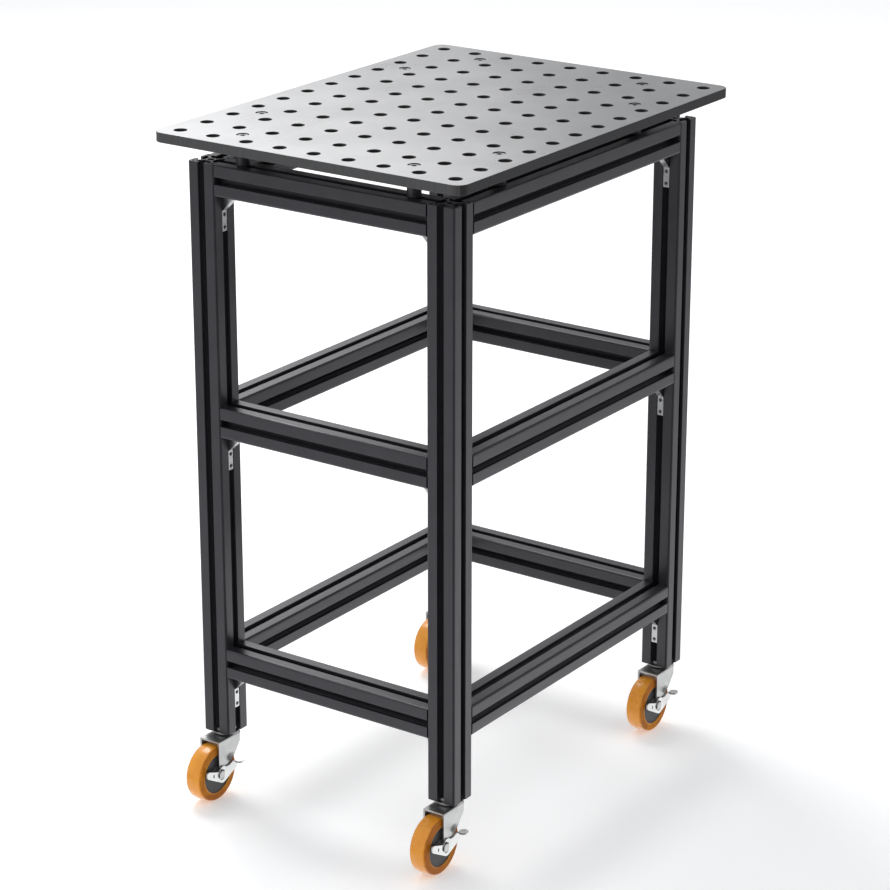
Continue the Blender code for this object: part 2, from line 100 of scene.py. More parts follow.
def new_finish(name, **constants):
    """A principled material; constants that hold all over are set on the shader's own sockets."""
    material = bpy.data.materials.new(name)
    material.use_nodes = True
    surface = material.node_tree.nodes["Principled BSDF"]
    for socket, value in constants.items():
        surface.inputs[socket.replace("_", " ")].default_value = value
    return material, material.node_tree, surface


# %% [markdown]
# ## Camera
#
# The camera comes first, because every later choice is compared through it. Its place and lens were
# worked out from the plate's hole grid, which is a ruler drawn in perspective: a long lens from far
# off, about twenty degrees above the floor, looking past the near corner.

# %% Camera
CAMERA_PLACE = (-2.982, -2.083, 1.7565)
CAMERA_TURN = 55.075
CAMERA_DIP = 19.827
CAMERA_LENS = 120.58

camera = add_object("camera", bpy.data.cameras.new("camera"))
camera.data.lens = CAMERA_LENS
camera.data.clip_end = 100
camera.location = CAMERA_PLACE
camera.rotation_euler = (math.radians(90 - CAMERA_DIP), 0, math.radians(-CAMERA_TURN))
scene.camera = camera
print("camera: lens", CAMERA_LENS, "mm, dip", CAMERA_DIP, "degrees")

# %% [markdown]
# ## Studio
#
# The table stands on seamless white paper in a white room. The room does most of the work: black
# anodised metal has little colour of its own, and what the eye sees on it is the room in its sheen. So
# the room is bright on the left, greyer at the rear, dim on the right and darkest behind the viewer,
# which draws a dark line down every rounded corner that faces us. Below the horizon it is dim far off
# and bright close by, as lit paper is, so the posts lighten towards their feet. One soft box high up
# throws the soft shadow. Another, behind the table and to the left, lies in the plate's mirror
# direction and fades its top from bright to grey.

# %% Studio
FLOOR_SIZE = 60
PAPER_COLOUR = (0.88, 0.88, 0.88, 1)
PAPER_GLOW = 0.29
ROOM_COLOUR = (0.97, 0.98, 1.0, 1)
ROOM_STRENGTH = 0.85
# For each side: its direction, the cosines where a fade begins and ends, and the share of light there
ROOM_SIDES = {
    "behind the viewer": ((-0.68, -0.62, -0.39), 0.72, 0.93, 0.16),
    "right": ((0.05, -0.97, 0.24), 0.75, 0.95, 0.35),
    "high on the right": ((0.72, -0.25, 0.65), 0.90, 0.975, 0.1),
    "low on the right": ((0.72, -0.5, -0.48), 0.95, 0.998, 1.55),
    "rear": ((0.8, 0.55, 0.24), 0.5, 0.9, 0.65),
}
FAR_PAPER, NEAR_PAPER = 0.3, 1.2
FAR_DIP, NEAR_DIP = -0.25, -0.41


def softbox(name, place, aim, width, height, power, roll=0.0):
    """A rectangular studio light turned towards a point, and not itself in the picture."""
    light = bpy.data.lights.new(name, "AREA")
    light.shape = "RECTANGLE"
    light.size = width
    light.size_y = height
    light.energy = power
    lamp = add_object(name, light)
    lamp.location = place
    lamp.rotation_mode = "QUATERNION"
    facing = (Vector(aim) - Vector(place)).to_track_quat("-Z", "Y")
    lamp.rotation_quaternion = facing @ Quaternion((0, 0, 1), math.radians(roll))
    lamp.visible_camera = False


def paper_floor():
    """A wide sheet of white paper under the wheels."""
    half = FLOOR_SIZE / 2
    mesh = bpy.data.meshes.new("floor")
    corners = [(-half, -half, 0), (half, -half, 0), (half, half, 0), (-half, half, 0)]
    mesh.from_pydata(corners, [], [(0, 1, 2, 3)])
    paper = new_finish("white_paper", Base_Color=PAPER_COLOUR, Roughness=0.9, Specular_IOR_Level=0.1,
                       Emission_Color=(1, 1, 1, 1), Emission_Strength=PAPER_GLOW)[0]
    mesh.materials.append(paper)
    floor = add_object("floor", mesh)
    floor.visible_glossy = False


def faded(tree, axis, start, end, low, high):
    """A strength that goes smoothly from low to high as a direction turns along an axis."""
    direction = add_node(tree, "ShaderNodeTexCoord").outputs["Generated"]
    towards = add_node(tree, "ShaderNodeVectorMath", {0: direction, 1: axis}, operation="DOT_PRODUCT")
    return ranged(tree, towards.outputs["Value"], start, end, low, high, "SMOOTHSTEP")


def white_room():
    """A white world with a share of its light on each listed side, and lit paper below the horizon."""
    world = bpy.data.worlds.new("white_room")
    world.use_nodes = True
    tree = world.node_tree
    up = (0, 0, 1)
    strength = faded(tree, up, FAR_DIP, 0, FAR_PAPER, ROOM_STRENGTH)
    fades = [faded(tree, up, NEAR_DIP, FAR_DIP, NEAR_PAPER / FAR_PAPER, 1)]
    for side, start, end, share in ROOM_SIDES.values():
        fades.append(faded(tree, side, start, end, 1, share))
    for fade in fades:
        strength = calculate(tree, "MULTIPLY", strength, fade)
    room = tree.nodes["Background"]
    room.inputs["Color"].default_value = ROOM_COLOUR
    tree.links.new(strength, room.inputs["Strength"])
    scene.world = world


white_room()
scene.view_settings.view_transform = "Standard"
paper_floor()
softbox("high_softbox", place=(0.8, 1.85, 3.15), aim=(0, 0, 0.4), width=1.3, height=1.3, power=52)
softbox("left_softbox", place=(2.63, 3.75, 2.51), aim=(0, 0, 0.889), width=3.76, height=1.49, power=43,
        roll=-27)
print("studio: paper floor and two soft boxes")

# %% [markdown]
# ## Finishes
#
# Fourteen finishes cover the table. None is a flat colour: rolled, drawn and plated metal all carry
# fine marks that change how sharply they mirror the room. Noise on Object coordinates drives roughness,
# colour and a very small bump, stretched along the length where a die has drawn the metal.

# %% Finish helpers
NOISE_LOW, NOISE_HIGH = 0.3, 0.7
BUMP_STRENGTH = 0.6
FINE_BUMP = 0.00002
MOULD_BUMP = 0.00005
ROUGH_RANGE = 0.1
DIE_STRETCH = 0.01


def noise(tree, scale, stretch=(1, 1, 1), detail=4.0):
    """Noise over the piece in its own coordinates, stretched along an axis by a small factor."""
    place = add_node(tree, "ShaderNodeTexCoord").outputs["Object"]
    mapping = add_node(tree, "ShaderNodeMapping", {"Vector": place, "Scale": stretch})
    feeds = {"Vector": mapping.outputs["Vector"], "Scale": scale, "Detail": detail}
    return add_node(tree, "ShaderNodeTexNoise", feeds).outputs["Fac"]


def spread(tree, source, low, high, socket):
    """Feeds a socket with noise spread between two values."""
    tree.links.new(ranged(tree, source, NOISE_LOW, NOISE_HIGH, low, high), socket)


def tint(tree, source, dark, light, socket):
    """Feeds a colour socket with noise between two colours."""
    ramp = add_node(tree, "ShaderNodeValToRGB", {"Fac": source})
    first, last = ramp.color_ramp.elements
    first.position, first.color = NOISE_LOW, (*dark, 1)
    last.position, last.color = NOISE_HIGH, (*light, 1)
    tree.links.new(ramp.outputs["Color"], socket)
    return ramp.color_ramp


def relief(tree, source, depth, surface):
    """A small bump, its depth in metres."""
    feeds = {"Height": source, "Strength": BUMP_STRENGTH, "Distance": depth}
    bump = add_node(tree, "ShaderNodeBump", feeds)
    tree.links.new(bump.outputs["Normal"], surface.inputs["Normal"])


def marked_finish(name, dark, light, rough, grain, cloud=None, bump=0.0, **constants):
    """A finish whose grain sets roughness and bump; the cloud, or else the grain, tints it."""
    material, tree, surface = new_finish(name, **constants)
    marks = noise(tree, **grain)
    tint(tree, noise(tree, **cloud) if cloud else marks, dark, light, surface.inputs["Base Color"])
    spread(tree, marks, *rough, surface.inputs["Roughness"])
    if bump:
        relief(tree, marks, bump, surface)
    return material


# %% Finishes
def black_anodised(axis):
    """Extruded aluminium, black anodised: fine die lines run along one axis."""
    stretch = [1.0, 1.0, 1.0]
    stretch[axis] = DIE_STRETCH
    return marked_finish(f"black_anodised_{'xyz'[axis]}", dark=(0.0125, 0.012, 0.0155),
                         light=(0.0195, 0.019, 0.0235), rough=(0.30, 0.44), cloud={"scale": 30},
                         grain={"scale": 900, "stretch": stretch}, bump=FINE_BUMP, IOR=1.62,
                         Specular_Tint=(0.975, 0.955, 1.0, 1))


def ground_steel():
    """The plate's ground top: grey steel, smudged by handling, so its sheen is cloudy."""
    return marked_finish("ground_steel", dark=(0.332, 0.332, 0.335), light=(0.388, 0.388, 0.391),
                         rough=(0.27, 0.31), cloud={"scale": 14, "detail": 6},
                         grain={"scale": 8, "stretch": (1, 2, 1), "detail": 3}, Metallic=1.0)


def cut_steel(name, dark, light, ior):
    """The plate's cut edges, dark and rough; the ends, facing along X, are given a lighter tone than
    the long sides.
    """
    return marked_finish(name, dark, light, rough=(0.40, 0.55), IOR=ior,
                         grain={"scale": 300, "stretch": (1, 1, 0.2)})


def bored_steel():
    """The drilled walls, nearly black."""
    return marked_finish("bored_steel", dark=(0.010, 0.010, 0.011), light=(0.018, 0.018, 0.019),
                         rough=(0.45, 0.6), IOR=1.5, grain={"scale": 300, "stretch": (1, 1, 4)})


def zinc_plate(name, dark, light, rough):
    """Bright zinc on pressed steel, finely grained: duller on the forks than on levers and brackets."""
    return marked_finish(name, dark, light, rough=(rough, rough + ROUGH_RANGE), cloud={"scale": 60},
                         grain={"scale": 1500}, bump=FINE_BUMP, Metallic=1.0)


def orange_tread(name, rough, **gloss):
    """Cast polyurethane, faintly cloudy and a little translucent, with painted shade on its flanks."""
    material, tree, surface = new_finish(name, Subsurface_Weight=0.15, Subsurface_Scale=0.004,
                                         Subsurface_Radius=(1.0, 0.4, 0.1), **gloss)
    cloud = noise(tree, scale=45)
    flank = add_node(tree, "ShaderNodeAttribute", attribute_name="flank").outputs["Fac"]
    # The third colour is painted shade: the flank attribute pulls the tint towards it, most on the
    # flanks.
    dark, light, shade_colour = (0.76, 0.285, 0.014), (0.85, 0.345, 0.02), (0.44, 0.135, 0.007)
    shaded_cloud = calculate(tree, "SUBTRACT", cloud, flank)
    ramp = tint(tree, shaded_cloud, dark, light, surface.inputs["Base Color"])
    ramp.elements.new(0).color = (*shade_colour, 1)
    spread(tree, cloud, rough, rough + ROUGH_RANGE, surface.inputs["Roughness"])
    relief(tree, noise(tree, scale=500), FINE_BUMP, surface)
    return material


def moulded_core():
    """The wheel's moulded grey core: matt, with a fine mould grain."""
    return marked_finish("moulded_core", dark=(0.044, 0.044, 0.046), light=(0.056, 0.056, 0.058),
                         rough=(0.42, 0.56), cloud={"scale": 80}, grain={"scale": 1800},
                         bump=MOULD_BUMP)


def screw_steel():
    """Plain steel of the small screws, darker than zinc."""
    return marked_finish("screw_steel", dark=(0.26, 0.26, 0.27), light=(0.36, 0.36, 0.37),
                         rough=(0.25, 0.4), grain={"scale": 1200}, Metallic=1.0)


PROFILE_FINISH = [black_anodised(axis) for axis in range(3)]
PLATE_FINISH = ground_steel()
# Ends facing along X get the lighter tone, long sides facing along Y the darker one
END_FINISH = cut_steel("sheared_ends", (0.046, 0.046, 0.047), (0.062, 0.062, 0.063), ior=1.5)
SIDE_FINISH = cut_steel("scaly_sides", (0.014, 0.014, 0.015), (0.022, 0.022, 0.024), ior=1.4)
BORE_FINISH = bored_steel()
ZINC_FINISH = zinc_plate("caster_zinc", (0.41, 0.41, 0.405), (0.49, 0.49, 0.48), rough=0.30)
LEVER_FINISH = zinc_plate("lever_zinc", (0.51, 0.51, 0.50), (0.61, 0.61, 0.595), rough=0.24)
BRACKET_FINISH = zinc_plate("bracket_zinc", (0.52, 0.52, 0.52), (0.64, 0.64, 0.635), rough=0.24)
TREAD_FINISH = orange_tread("orange_tread", rough=0.24, Coat_Weight=0.2, Coat_Roughness=0.15)
FLANK_FINISH = orange_tread("orange_flank", rough=0.5, Specular_IOR_Level=0.2)
CORE_FINISH = moulded_core()
SCREW_FINISH = screw_steel()
print("finishes:", len(bpy.data.materials))

# %% [markdown]
# ## Shape helpers
#
# Most pieces here are cut, drawn or turned, so three helpers make nearly all of them: a flat outline
# raised into a prism, a section spun about an axis, and one solid cut by another. A fourth breaks the
# sharp edges, because no real edge is perfectly sharp and a small bevel is what catches the light.
# Every piece is shaded smooth up to its sharp edges, and large faces outweigh small ones, so that flats
# look flat beside their rounds.

# %% Shape helpers
ALONG_Y = Matrix.Rotation(math.pi / 2, 4, "X")
SMOOTH_ANGLE = math.radians(32)
SHARP_ANGLE = math.radians(40)
FLAT_WEIGHT = 100
BEVEL_STEPS = 2
SAME_POINT = 1e-6
# How far a cutter reaches past a face, and the play between pieces that fit into each other
OVERSHOOT = 0.0005
PLAY = 0.0003


def arc(centre, radius, start, end, steps):
    """Points on an arc, angles in degrees, both ends included."""
    points = []
    for step in range(steps + 1):
        angle = math.radians(start + (end - start) * step / steps)
        points.append((centre[0] + radius * math.cos(angle), centre[1] + radius * math.sin(angle)))
    return points


def circle(centre, radius, sides):
    """Corners of a regular polygon about a centre."""
    return arc(centre, radius, 0, 360, sides)[:-1]


def mesh_from(shape, name, turn=None):
    """Turns an edited shape into a mesh whose faces point outwards, and lays it in a direction."""
    bmesh.ops.recalc_face_normals(shape, faces=shape.faces[:])
    mesh = bpy.data.meshes.new(name)
    shape.to_mesh(mesh)
    shape.free()
    if turn is not None:
        mesh.transform(turn)
    return mesh


def loop_edges(shape, loops):
    """Closed rings of edges in the plane z = 0."""
    edges = []
    for loop in loops:
        corners = [shape.verts.new((x, y, 0)) for x, y in loop]
        for corner, following in zip(corners, corners[1:] + corners[:1]):
            edges.append(shape.edges.new((corner, following)))
    return edges


def prism(name, outline, low, high, holes=(), turn=None):
    """A flat outline, with holes, raised from low to high along Z, then turned."""
    shape = bmesh.new()
    bmesh.ops.triangle_fill(shape, use_beauty=True, edges=loop_edges(shape, [outline, *holes]))
    raised = bmesh.ops.extrude_face_region(shape, geom=shape.faces[:])
    lifted = [item for item in raised["geom"] if isinstance(item, bmesh.types.BMVert)]
    bmesh.ops.translate(shape, verts=lifted, vec=(0, 0, high - low))
    bmesh.ops.translate(shape, verts=shape.verts[:], vec=(0, 0, low))
    return mesh_from(shape, name, turn)


def turned(name, profile, sides, ring=False, turn=None):
    """A solid spun about Z from (radius, height) points; ring closes a section that misses the axis."""
    shape = bmesh.new()
    corners = [shape.verts.new((radius, 0, height)) for radius, height in profile]
    pairs = list(zip(corners, corners[1:]))
    if ring:
        pairs.append((corners[-1], corners[0]))
    edges = [shape.edges.new(pair) for pair in pairs]
    bmesh.ops.spin(shape, geom=corners + edges, axis=(0, 0, 1), cent=(0, 0, 0), steps=sides,
                   angle=2 * math.pi, use_merge=True)
    bmesh.ops.remove_doubles(shape, verts=shape.verts[:], dist=SAME_POINT)
    return mesh_from(shape, name, turn)


def evaluated(carrier):
    """What an object's modifiers leave, as a plain mesh; the object itself goes."""
    graph = bpy.context.evaluated_depsgraph_get()
    mesh = bpy.data.meshes.new_from_object(carrier.evaluated_get(graph))
    bpy.data.objects.remove(carrier)
    return mesh


def with_modifier(mesh, kind, **settings):
    """The mesh after one modifier, as a plain mesh again."""
    carrier = add_object("carrier", mesh)
    step = carrier.modifiers.new("step", kind)
    for setting, value in settings.items():
        setattr(step, setting, value)
    return evaluated(carrier)


def combine(mesh, tool, operation):
    """One mesh from two by a Boolean."""
    helper = add_object("tool", tool)
    result = with_modifier(mesh, "BOOLEAN", object=helper, operation=operation)
    bpy.data.objects.remove(helper)
    return result


def soften(mesh, width):
    """Breaks the sharp edges with a bevel."""
    return with_modifier(mesh, "BEVEL", width=width, segments=BEVEL_STEPS, limit_method="ANGLE",
                         angle_limit=SHARP_ANGLE, harden_normals=False)


def moved(mesh, offset, turn=0.0):
    """A copy of a mesh, turned about Z and moved."""
    copy = mesh.copy()
    copy.transform(Matrix.Translation(offset) @ Matrix.Rotation(turn, 4, "Z"))
    return copy


def piece(name, mesh, finishes, body, replaced=()):
    """Puts a finished mesh in the scene, riding on a body and standing for CAD nodes."""
    mesh.shade_smooth()
    mesh.set_sharp_from_angle(angle=SMOOTH_ANGLE)
    mesh = with_modifier(mesh, "WEIGHTED_NORMAL", keep_sharp=True, weight=FLAT_WEIGHT)
    mesh.name = name
    if finishes:
        mesh.materials.clear()
        for finish in finishes:
            mesh.materials.append(finish)
    item = add_object(name, mesh)
    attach(item, body)
    if replaced:
        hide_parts(*replaced)
    return item


# %% [markdown]
# ## Trees that repeat
#
# A hole grid, eight screws or twenty-four brackets are one shape on many points. Geometry Nodes says
# exactly that: points in, one instance on each, realised at the end so that the result is a plain
# mesh. Small helpers make a tree with named inputs, close it and run it once.

# %% Tree helpers
def new_tree(name, inputs):
    """An empty Geometry Nodes tree with its named inputs."""
    tree = bpy.data.node_groups.new(name, "GeometryNodeTree")
    tree.interface.new_socket("Geometry", in_out="INPUT", socket_type="NodeSocketGeometry")
    for label, kind in inputs.items():
        tree.interface.new_socket(label, in_out="INPUT", socket_type=f"NodeSocket{kind}")
    tree.interface.new_socket("Geometry", in_out="OUTPUT", socket_type="NodeSocketGeometry")
    return tree, tree.nodes.new("NodeGroupInput"), tree.nodes.new("NodeGroupOutput")


def close_tree(tree, source, inlet, outlet):
    """The last links of every tree: realise the instances and set the finish."""
    realise = add_node(tree, "GeometryNodeRealizeInstances", {"Geometry": source})
    finish = add_node(tree, "GeometryNodeSetMaterial", {
        "Geometry": realise.outputs["Geometry"], "Material": inlet.outputs["Finish"]})
    tree.links.new(finish.outputs["Geometry"], outlet.inputs["Geometry"])


def grown(tree, start, values):
    """Runs a tree on a mesh with its inputs set, and gives back a plain mesh."""
    carrier = add_object(tree.name, start)
    step = carrier.modifiers.new(tree.name, "NODES")
    step.node_group = tree
    for item in tree.interface.items_tree:
        if item.in_out == "INPUT" and item.name in values:
            step[item.identifier] = values[item.name]
    return evaluated(carrier)


def hidden(name, mesh):
    """An object that only lends its mesh to a tree."""
    return bpy.data.objects.new(name, mesh)


def points_mesh(name, places, turns=None):
    """Loose points, each with its turn about Z."""
    mesh = bpy.data.meshes.new(name)
    mesh.from_pydata(places, [], [])
    layer = mesh.attributes.new("turn", "FLOAT", "POINT")
    for index, turn in enumerate(turns or [0.0] * len(places)):
        layer.data[index].value = turn
    return mesh


def scatter_tree():
    """One shape on every point, turned about Z by the point's own turn."""
    tree, inlet, outlet = new_tree("shape_on_points", {"Shape": "Object", "Finish": "Material"})
    shape = add_node(tree, "GeometryNodeObjectInfo", {"Object": inlet.outputs["Shape"]})
    turn = add_node(tree, "GeometryNodeInputNamedAttribute", {"Name": "turn"}, data_type="FLOAT")
    upright = add_node(tree, "ShaderNodeCombineXYZ", {"Z": turn.outputs["Attribute"]})
    rotation = add_node(tree, "FunctionNodeEulerToRotation", {"Euler": upright.outputs["Vector"]})
    scatter = add_node(tree, "GeometryNodeInstanceOnPoints", {
        "Points": inlet.outputs["Geometry"], "Instance": shape.outputs["Geometry"],
        "Rotation": rotation.outputs["Rotation"]})
    close_tree(tree, scatter.outputs["Instances"], inlet, outlet)
    return tree


SCATTER = scatter_tree()


def on_points(name, shape_mesh, places, turns, finish):
    """One mesh with a copy of a shape on each place."""
    shape = hidden(f"{name}_shape", shape_mesh)
    mesh = grown(SCATTER, points_mesh(name, places, turns), {"Shape": shape, "Finish": finish})
    bpy.data.objects.remove(shape)
    print(name, "on", len(places), "points:", len(mesh.polygons), "faces")
    return mesh


# %% [markdown]
# ## Drilled plate
#
# The plate follows a rule, a two-inch grid of holes, so a tree drills it: a grid of points, a cutter
# with flared ends on each, and one Boolean through the slab. The flare leaves the small chamfer that
# every reamed hole has, and that is what glints along the far edges. A second set of cutters sinks the
# seats of the eight screws.

# %% Plate sizes
INCH = 0.0254
HOLE_PITCH = 2 * INCH
HOLE_COLUMNS = 12
HOLE_ROWS = 9
HOLE_RADIUS = 0.3125 * INCH
HOLE_CHAMFER = 0.0007
HOLE_SIDES = 32
PLATE_CORNER = 0.6 * INCH
PLATE_CORNER_STEPS = 12
PLATE_EDGE = 0.0004
SEAT_RADIUS = HOLE_RADIUS
SCREW_SINK = 0.001
SHANK_RADIUS = 0.005
PILOT_DEPTH = 0.010
FLAT_ENOUGH = 0.8

plate_low, plate_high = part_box("top_plate")
plate_centre = (plate_low + plate_high) / 2
PLATE_TOP = plate_high.z
PLATE_THICKNESS = plate_high.z - plate_low.z


def cell(column, row):
    """Middle of a cell between holes, from the plate's centre."""
    x = (column + 0.5 - (HOLE_COLUMNS - 1) / 2) * HOLE_PITCH
    y = (row + 0.5 - (HOLE_ROWS - 1) / 2) * HOLE_PITCH
    return (x, y)


LONG_SIDE_SCREWS = [cell(column, row) for column in (2, 8) for row in (0, 7)]
SHORT_SIDE_SCREWS = [cell(column, row) for column in (0, 10) for row in (1, 6)]
SCREW_PLACES = LONG_SIDE_SCREWS + SHORT_SIDE_SCREWS
print("plate:", [round(size, 4) for size in plate_high - plate_low], "and", len(SCREW_PLACES), "screws")


# %% Plate tree
def plate_slab():
    """The undrilled plate with its top at z = 0, round corners and softened rims."""
    corner_x = (plate_high.x - plate_low.x) / 2 - PLATE_CORNER
    corner_y = (plate_high.y - plate_low.y) / 2 - PLATE_CORNER
    outline = []
    for start, side_x, side_y in ((0, 1, 1), (90, -1, 1), (180, -1, -1), (270, 1, -1)):
        centre = (side_x * corner_x, side_y * corner_y)
        outline += arc(centre, PLATE_CORNER, start, start + 90, PLATE_CORNER_STEPS)
    shape = bmesh.new()
    rim = [shape.verts.new((x, y, -PLATE_THICKNESS)) for x, y in outline]
    base = shape.faces.new(rim)
    raised = bmesh.ops.extrude_face_region(shape, geom=[base])
    lifted = [item for item in raised["geom"] if isinstance(item, bmesh.types.BMVert)]
    bmesh.ops.translate(shape, verts=lifted, vec=(0, 0, PLATE_THICKNESS))
    rims = [edge for edge in shape.edges if abs(edge.verts[0].co.z - edge.verts[1].co.z) < OVERSHOOT]
    bmesh.ops.bevel(shape, geom=rims, offset=PLATE_EDGE, segments=1, affect="EDGES")
    return mesh_from(shape, "slab")


def hole_cutter():
    """A drill with a 45 degree flare at both faces of the plate."""
    flare = HOLE_RADIUS + HOLE_CHAMFER + OVERSHOOT
    below = -PLATE_THICKNESS - OVERSHOOT
    profile = [(0, below), (flare, below), (HOLE_RADIUS, HOLE_CHAMFER - PLATE_THICKNESS),
               (HOLE_RADIUS, -HOLE_CHAMFER), (flare, OVERSHOOT), (0, OVERSHOOT)]
    return turned("hole_cutter", profile, HOLE_SIDES)


def seat_cutter():
    """A countersink with a straight mouth above the cone and a pilot below it."""
    cone_foot = -SCREW_SINK - SEAT_RADIUS + SHANK_RADIUS
    profile = [(0, -PILOT_DEPTH), (SHANK_RADIUS, -PILOT_DEPTH), (SHANK_RADIUS, cone_foot),
               (SEAT_RADIUS, -SCREW_SINK), (SEAT_RADIUS, OVERSHOOT), (0, OVERSHOOT)]
    return turned("seat_cutter", profile, HOLE_SIDES)


def plate_tree():
    """Drills a slab on a square grid and sinks screw seats at given points."""
    sizes = {"Pitch": "Float", "Columns": "Int", "Rows": "Int", "Drill": "Object",
             "Countersink": "Object", "Screw places": "Object", "Finish": "Material"}
    tree, inlet, outlet = new_tree("drilled_plate", sizes)
    grid = add_node(tree, "GeometryNodeMeshGrid")
    for count, side in (("Columns", "X"), ("Rows", "Y")):
        gaps = calculate(tree, "SUBTRACT", inlet.outputs[count], 1)
        length = calculate(tree, "MULTIPLY", gaps, inlet.outputs["Pitch"])
        tree.links.new(length, grid.inputs[f"Size {side}"])
        tree.links.new(inlet.outputs[count], grid.inputs[f"Vertices {side}"])
    seats = add_node(tree, "GeometryNodeObjectInfo", {"Object": inlet.outputs["Screw places"]})
    joined = add_node(tree, "GeometryNodeJoinGeometry")
    for tool, points in (("Drill", grid.outputs["Mesh"]), ("Countersink", seats.outputs["Geometry"])):
        cutter = add_node(tree, "GeometryNodeObjectInfo", {"Object": inlet.outputs[tool]})
        copies = add_node(tree, "GeometryNodeInstanceOnPoints", {
            "Points": points, "Instance": cutter.outputs["Geometry"]})
        tree.links.new(copies.outputs["Instances"], joined.inputs["Geometry"])
    cutters = add_node(tree, "GeometryNodeRealizeInstances", {"Geometry": joined.outputs["Geometry"]})
    meshes = {"Mesh 1": inlet.outputs["Geometry"], "Mesh 2": cutters.outputs["Geometry"]}
    cut = add_node(tree, "GeometryNodeMeshBoolean", meshes, operation="DIFFERENCE")
    close_tree(tree, cut.outputs["Mesh"], inlet, outlet)
    return tree


# %% Plate
def drilled_plate():
    """The plate as one mesh in its place."""
    drill = hidden("drill", hole_cutter())
    countersink = hidden("countersink", seat_cutter())
    seats = hidden("seats", points_mesh("seats", [(x, y, 0) for x, y in SCREW_PLACES]))
    values = {"Pitch": HOLE_PITCH, "Columns": HOLE_COLUMNS, "Rows": HOLE_ROWS, "Drill": drill,
              "Countersink": countersink, "Screw places": seats, "Finish": PLATE_FINISH}
    mesh = grown(plate_tree(), plate_slab(), values)
    for item in (drill, countersink, seats):
        bpy.data.objects.remove(item)
    mesh.transform(Matrix.Translation((plate_centre.x, plate_centre.y, PLATE_TOP)))
    return mesh


def finish_plate(mesh):
    """Ground faces on top and below, cut ends and sides, bored steel in the holes."""
    ground, end, side, bore = range(4)
    edge_x = plate_high.x - plate_centre.x - PLATE_CORNER / 2
    edge_y = plate_high.y - plate_centre.y - PLATE_CORNER / 2
    for face in mesh.polygons:
        away = face.center - plate_centre
        if abs(face.normal.z) > FLAT_ENOUGH:
            face.material_index = ground
        elif abs(away.x) > edge_x or abs(away.y) > edge_y:
            face.material_index = end if abs(face.normal.x) > abs(face.normal.y) else side
        else:
            face.material_index = bore


plate_finishes = [PLATE_FINISH, END_FINISH, SIDE_FINISH, BORE_FINISH]
plate = piece("drilled_plate", drilled_plate(), plate_finishes, "frame", ["top_plate"])
finish_plate(plate.data)
print("drilled plate:", len(plate.data.polygons), "faces")

# %% [markdown]
# ## Plate screws and spacers
#
# Eight countersunk screws hold the plate to black round spacers on the top rails. A screw is a turned
# cone with a hexagon cut into it. Its head lies a millimetre below the plate's face in a straight
# mouth, so a dark arc shows behind each head.

# %% Plate screws and spacers
SCREW_HEAD_RADIUS = 0.0074
SCREW_RIM = 0.0003
SCREW_LENGTH = 0.0085
SCREW_HEX_RADIUS = 0.0035
SCREW_HEX_DEPTH = 0.003
SPACER_RADIUS = 0.00875
SPACER_CHAMFER = 0.0006
ROUND_SIDES = 32

rail_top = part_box("post_front_left")[1].z


def plate_screw():
    """A countersunk screw with a hexagon socket, its head's top at z = 0."""
    shank = SHANK_RADIUS - SCREW_RIM
    profile = [(0, -SCREW_LENGTH), (shank, -SCREW_LENGTH),
               (shank, shank - SCREW_HEAD_RADIUS - SCREW_RIM), (SCREW_HEAD_RADIUS, -SCREW_RIM),
               (SCREW_HEAD_RADIUS - SCREW_RIM, 0), (0, 0)]
    socket = prism("socket", circle((0, 0), SCREW_HEX_RADIUS, 6), -SCREW_HEX_DEPTH, OVERSHOOT)
    return combine(turned("plate_screw", profile, ROUND_SIDES), socket, "DIFFERENCE")


def spacer():
    """A round spacer between rail and plate, chamfered at both ends, its foot at z = 0."""
    height = plate_low.z - rail_top
    inner = SPACER_RADIUS - SPACER_CHAMFER
    profile = [(0, 0), (inner, 0), (SPACER_RADIUS, SPACER_CHAMFER),
               (SPACER_RADIUS, height - SPACER_CHAMFER), (inner, height), (0, height)]
    return turned("spacer", profile, ROUND_SIDES)


def on_plate_grid(height):
    """The screw places lifted to a height."""
    return [(plate_centre.x + x, plate_centre.y + y, height) for x, y in SCREW_PLACES]


heads = on_plate_grid(PLATE_TOP - SCREW_SINK)
screws = on_points("plate_screws", plate_screw(), heads, None, SCREW_FINISH)
piece("plate_screws", screws, None, "frame")
spacers = on_points("plate_spacers", spacer(), on_plate_grid(rail_top), None, PROFILE_FINISH[2])
piece("plate_spacers", spacers, None, "frame")

# %% [markdown]
# ## Slotted profile
#
# Posts and rails are cut from one extruded bar: a slot on each side, a round bore in the core and a
# small hollow in each corner. The section is drawn once as closed outlines. A tree turns it to curves,
# fills them, and draws the face out to any length, which is just what the extrusion press does.

# %% Profile section
post_low, post_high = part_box("post_front_left")
PROFILE_HALF = (post_high.x - post_low.x) / 2
PROFILE_CORNER = 0.003
PROFILE_CORNER_STEPS = 6
SLOT_MOUTH = 0.0095
MOUTH_ROUND = 0.0006
MOUTH_STEPS = 3
LIP_THICKNESS = 0.004
CORNER_WALL = 0.0097
CAVITY_HALF = PROFILE_HALF - CORNER_WALL
SLOT_FLOOR = 0.0095
CORE_HALF = 0.00705
CORE_BORE = 0.0042
HOLLOW_PLACE = 0.0152
HOLLOW_RADIUS = 0.0022
BORE_SIDES, HOLLOW_SIDES = 24, 12


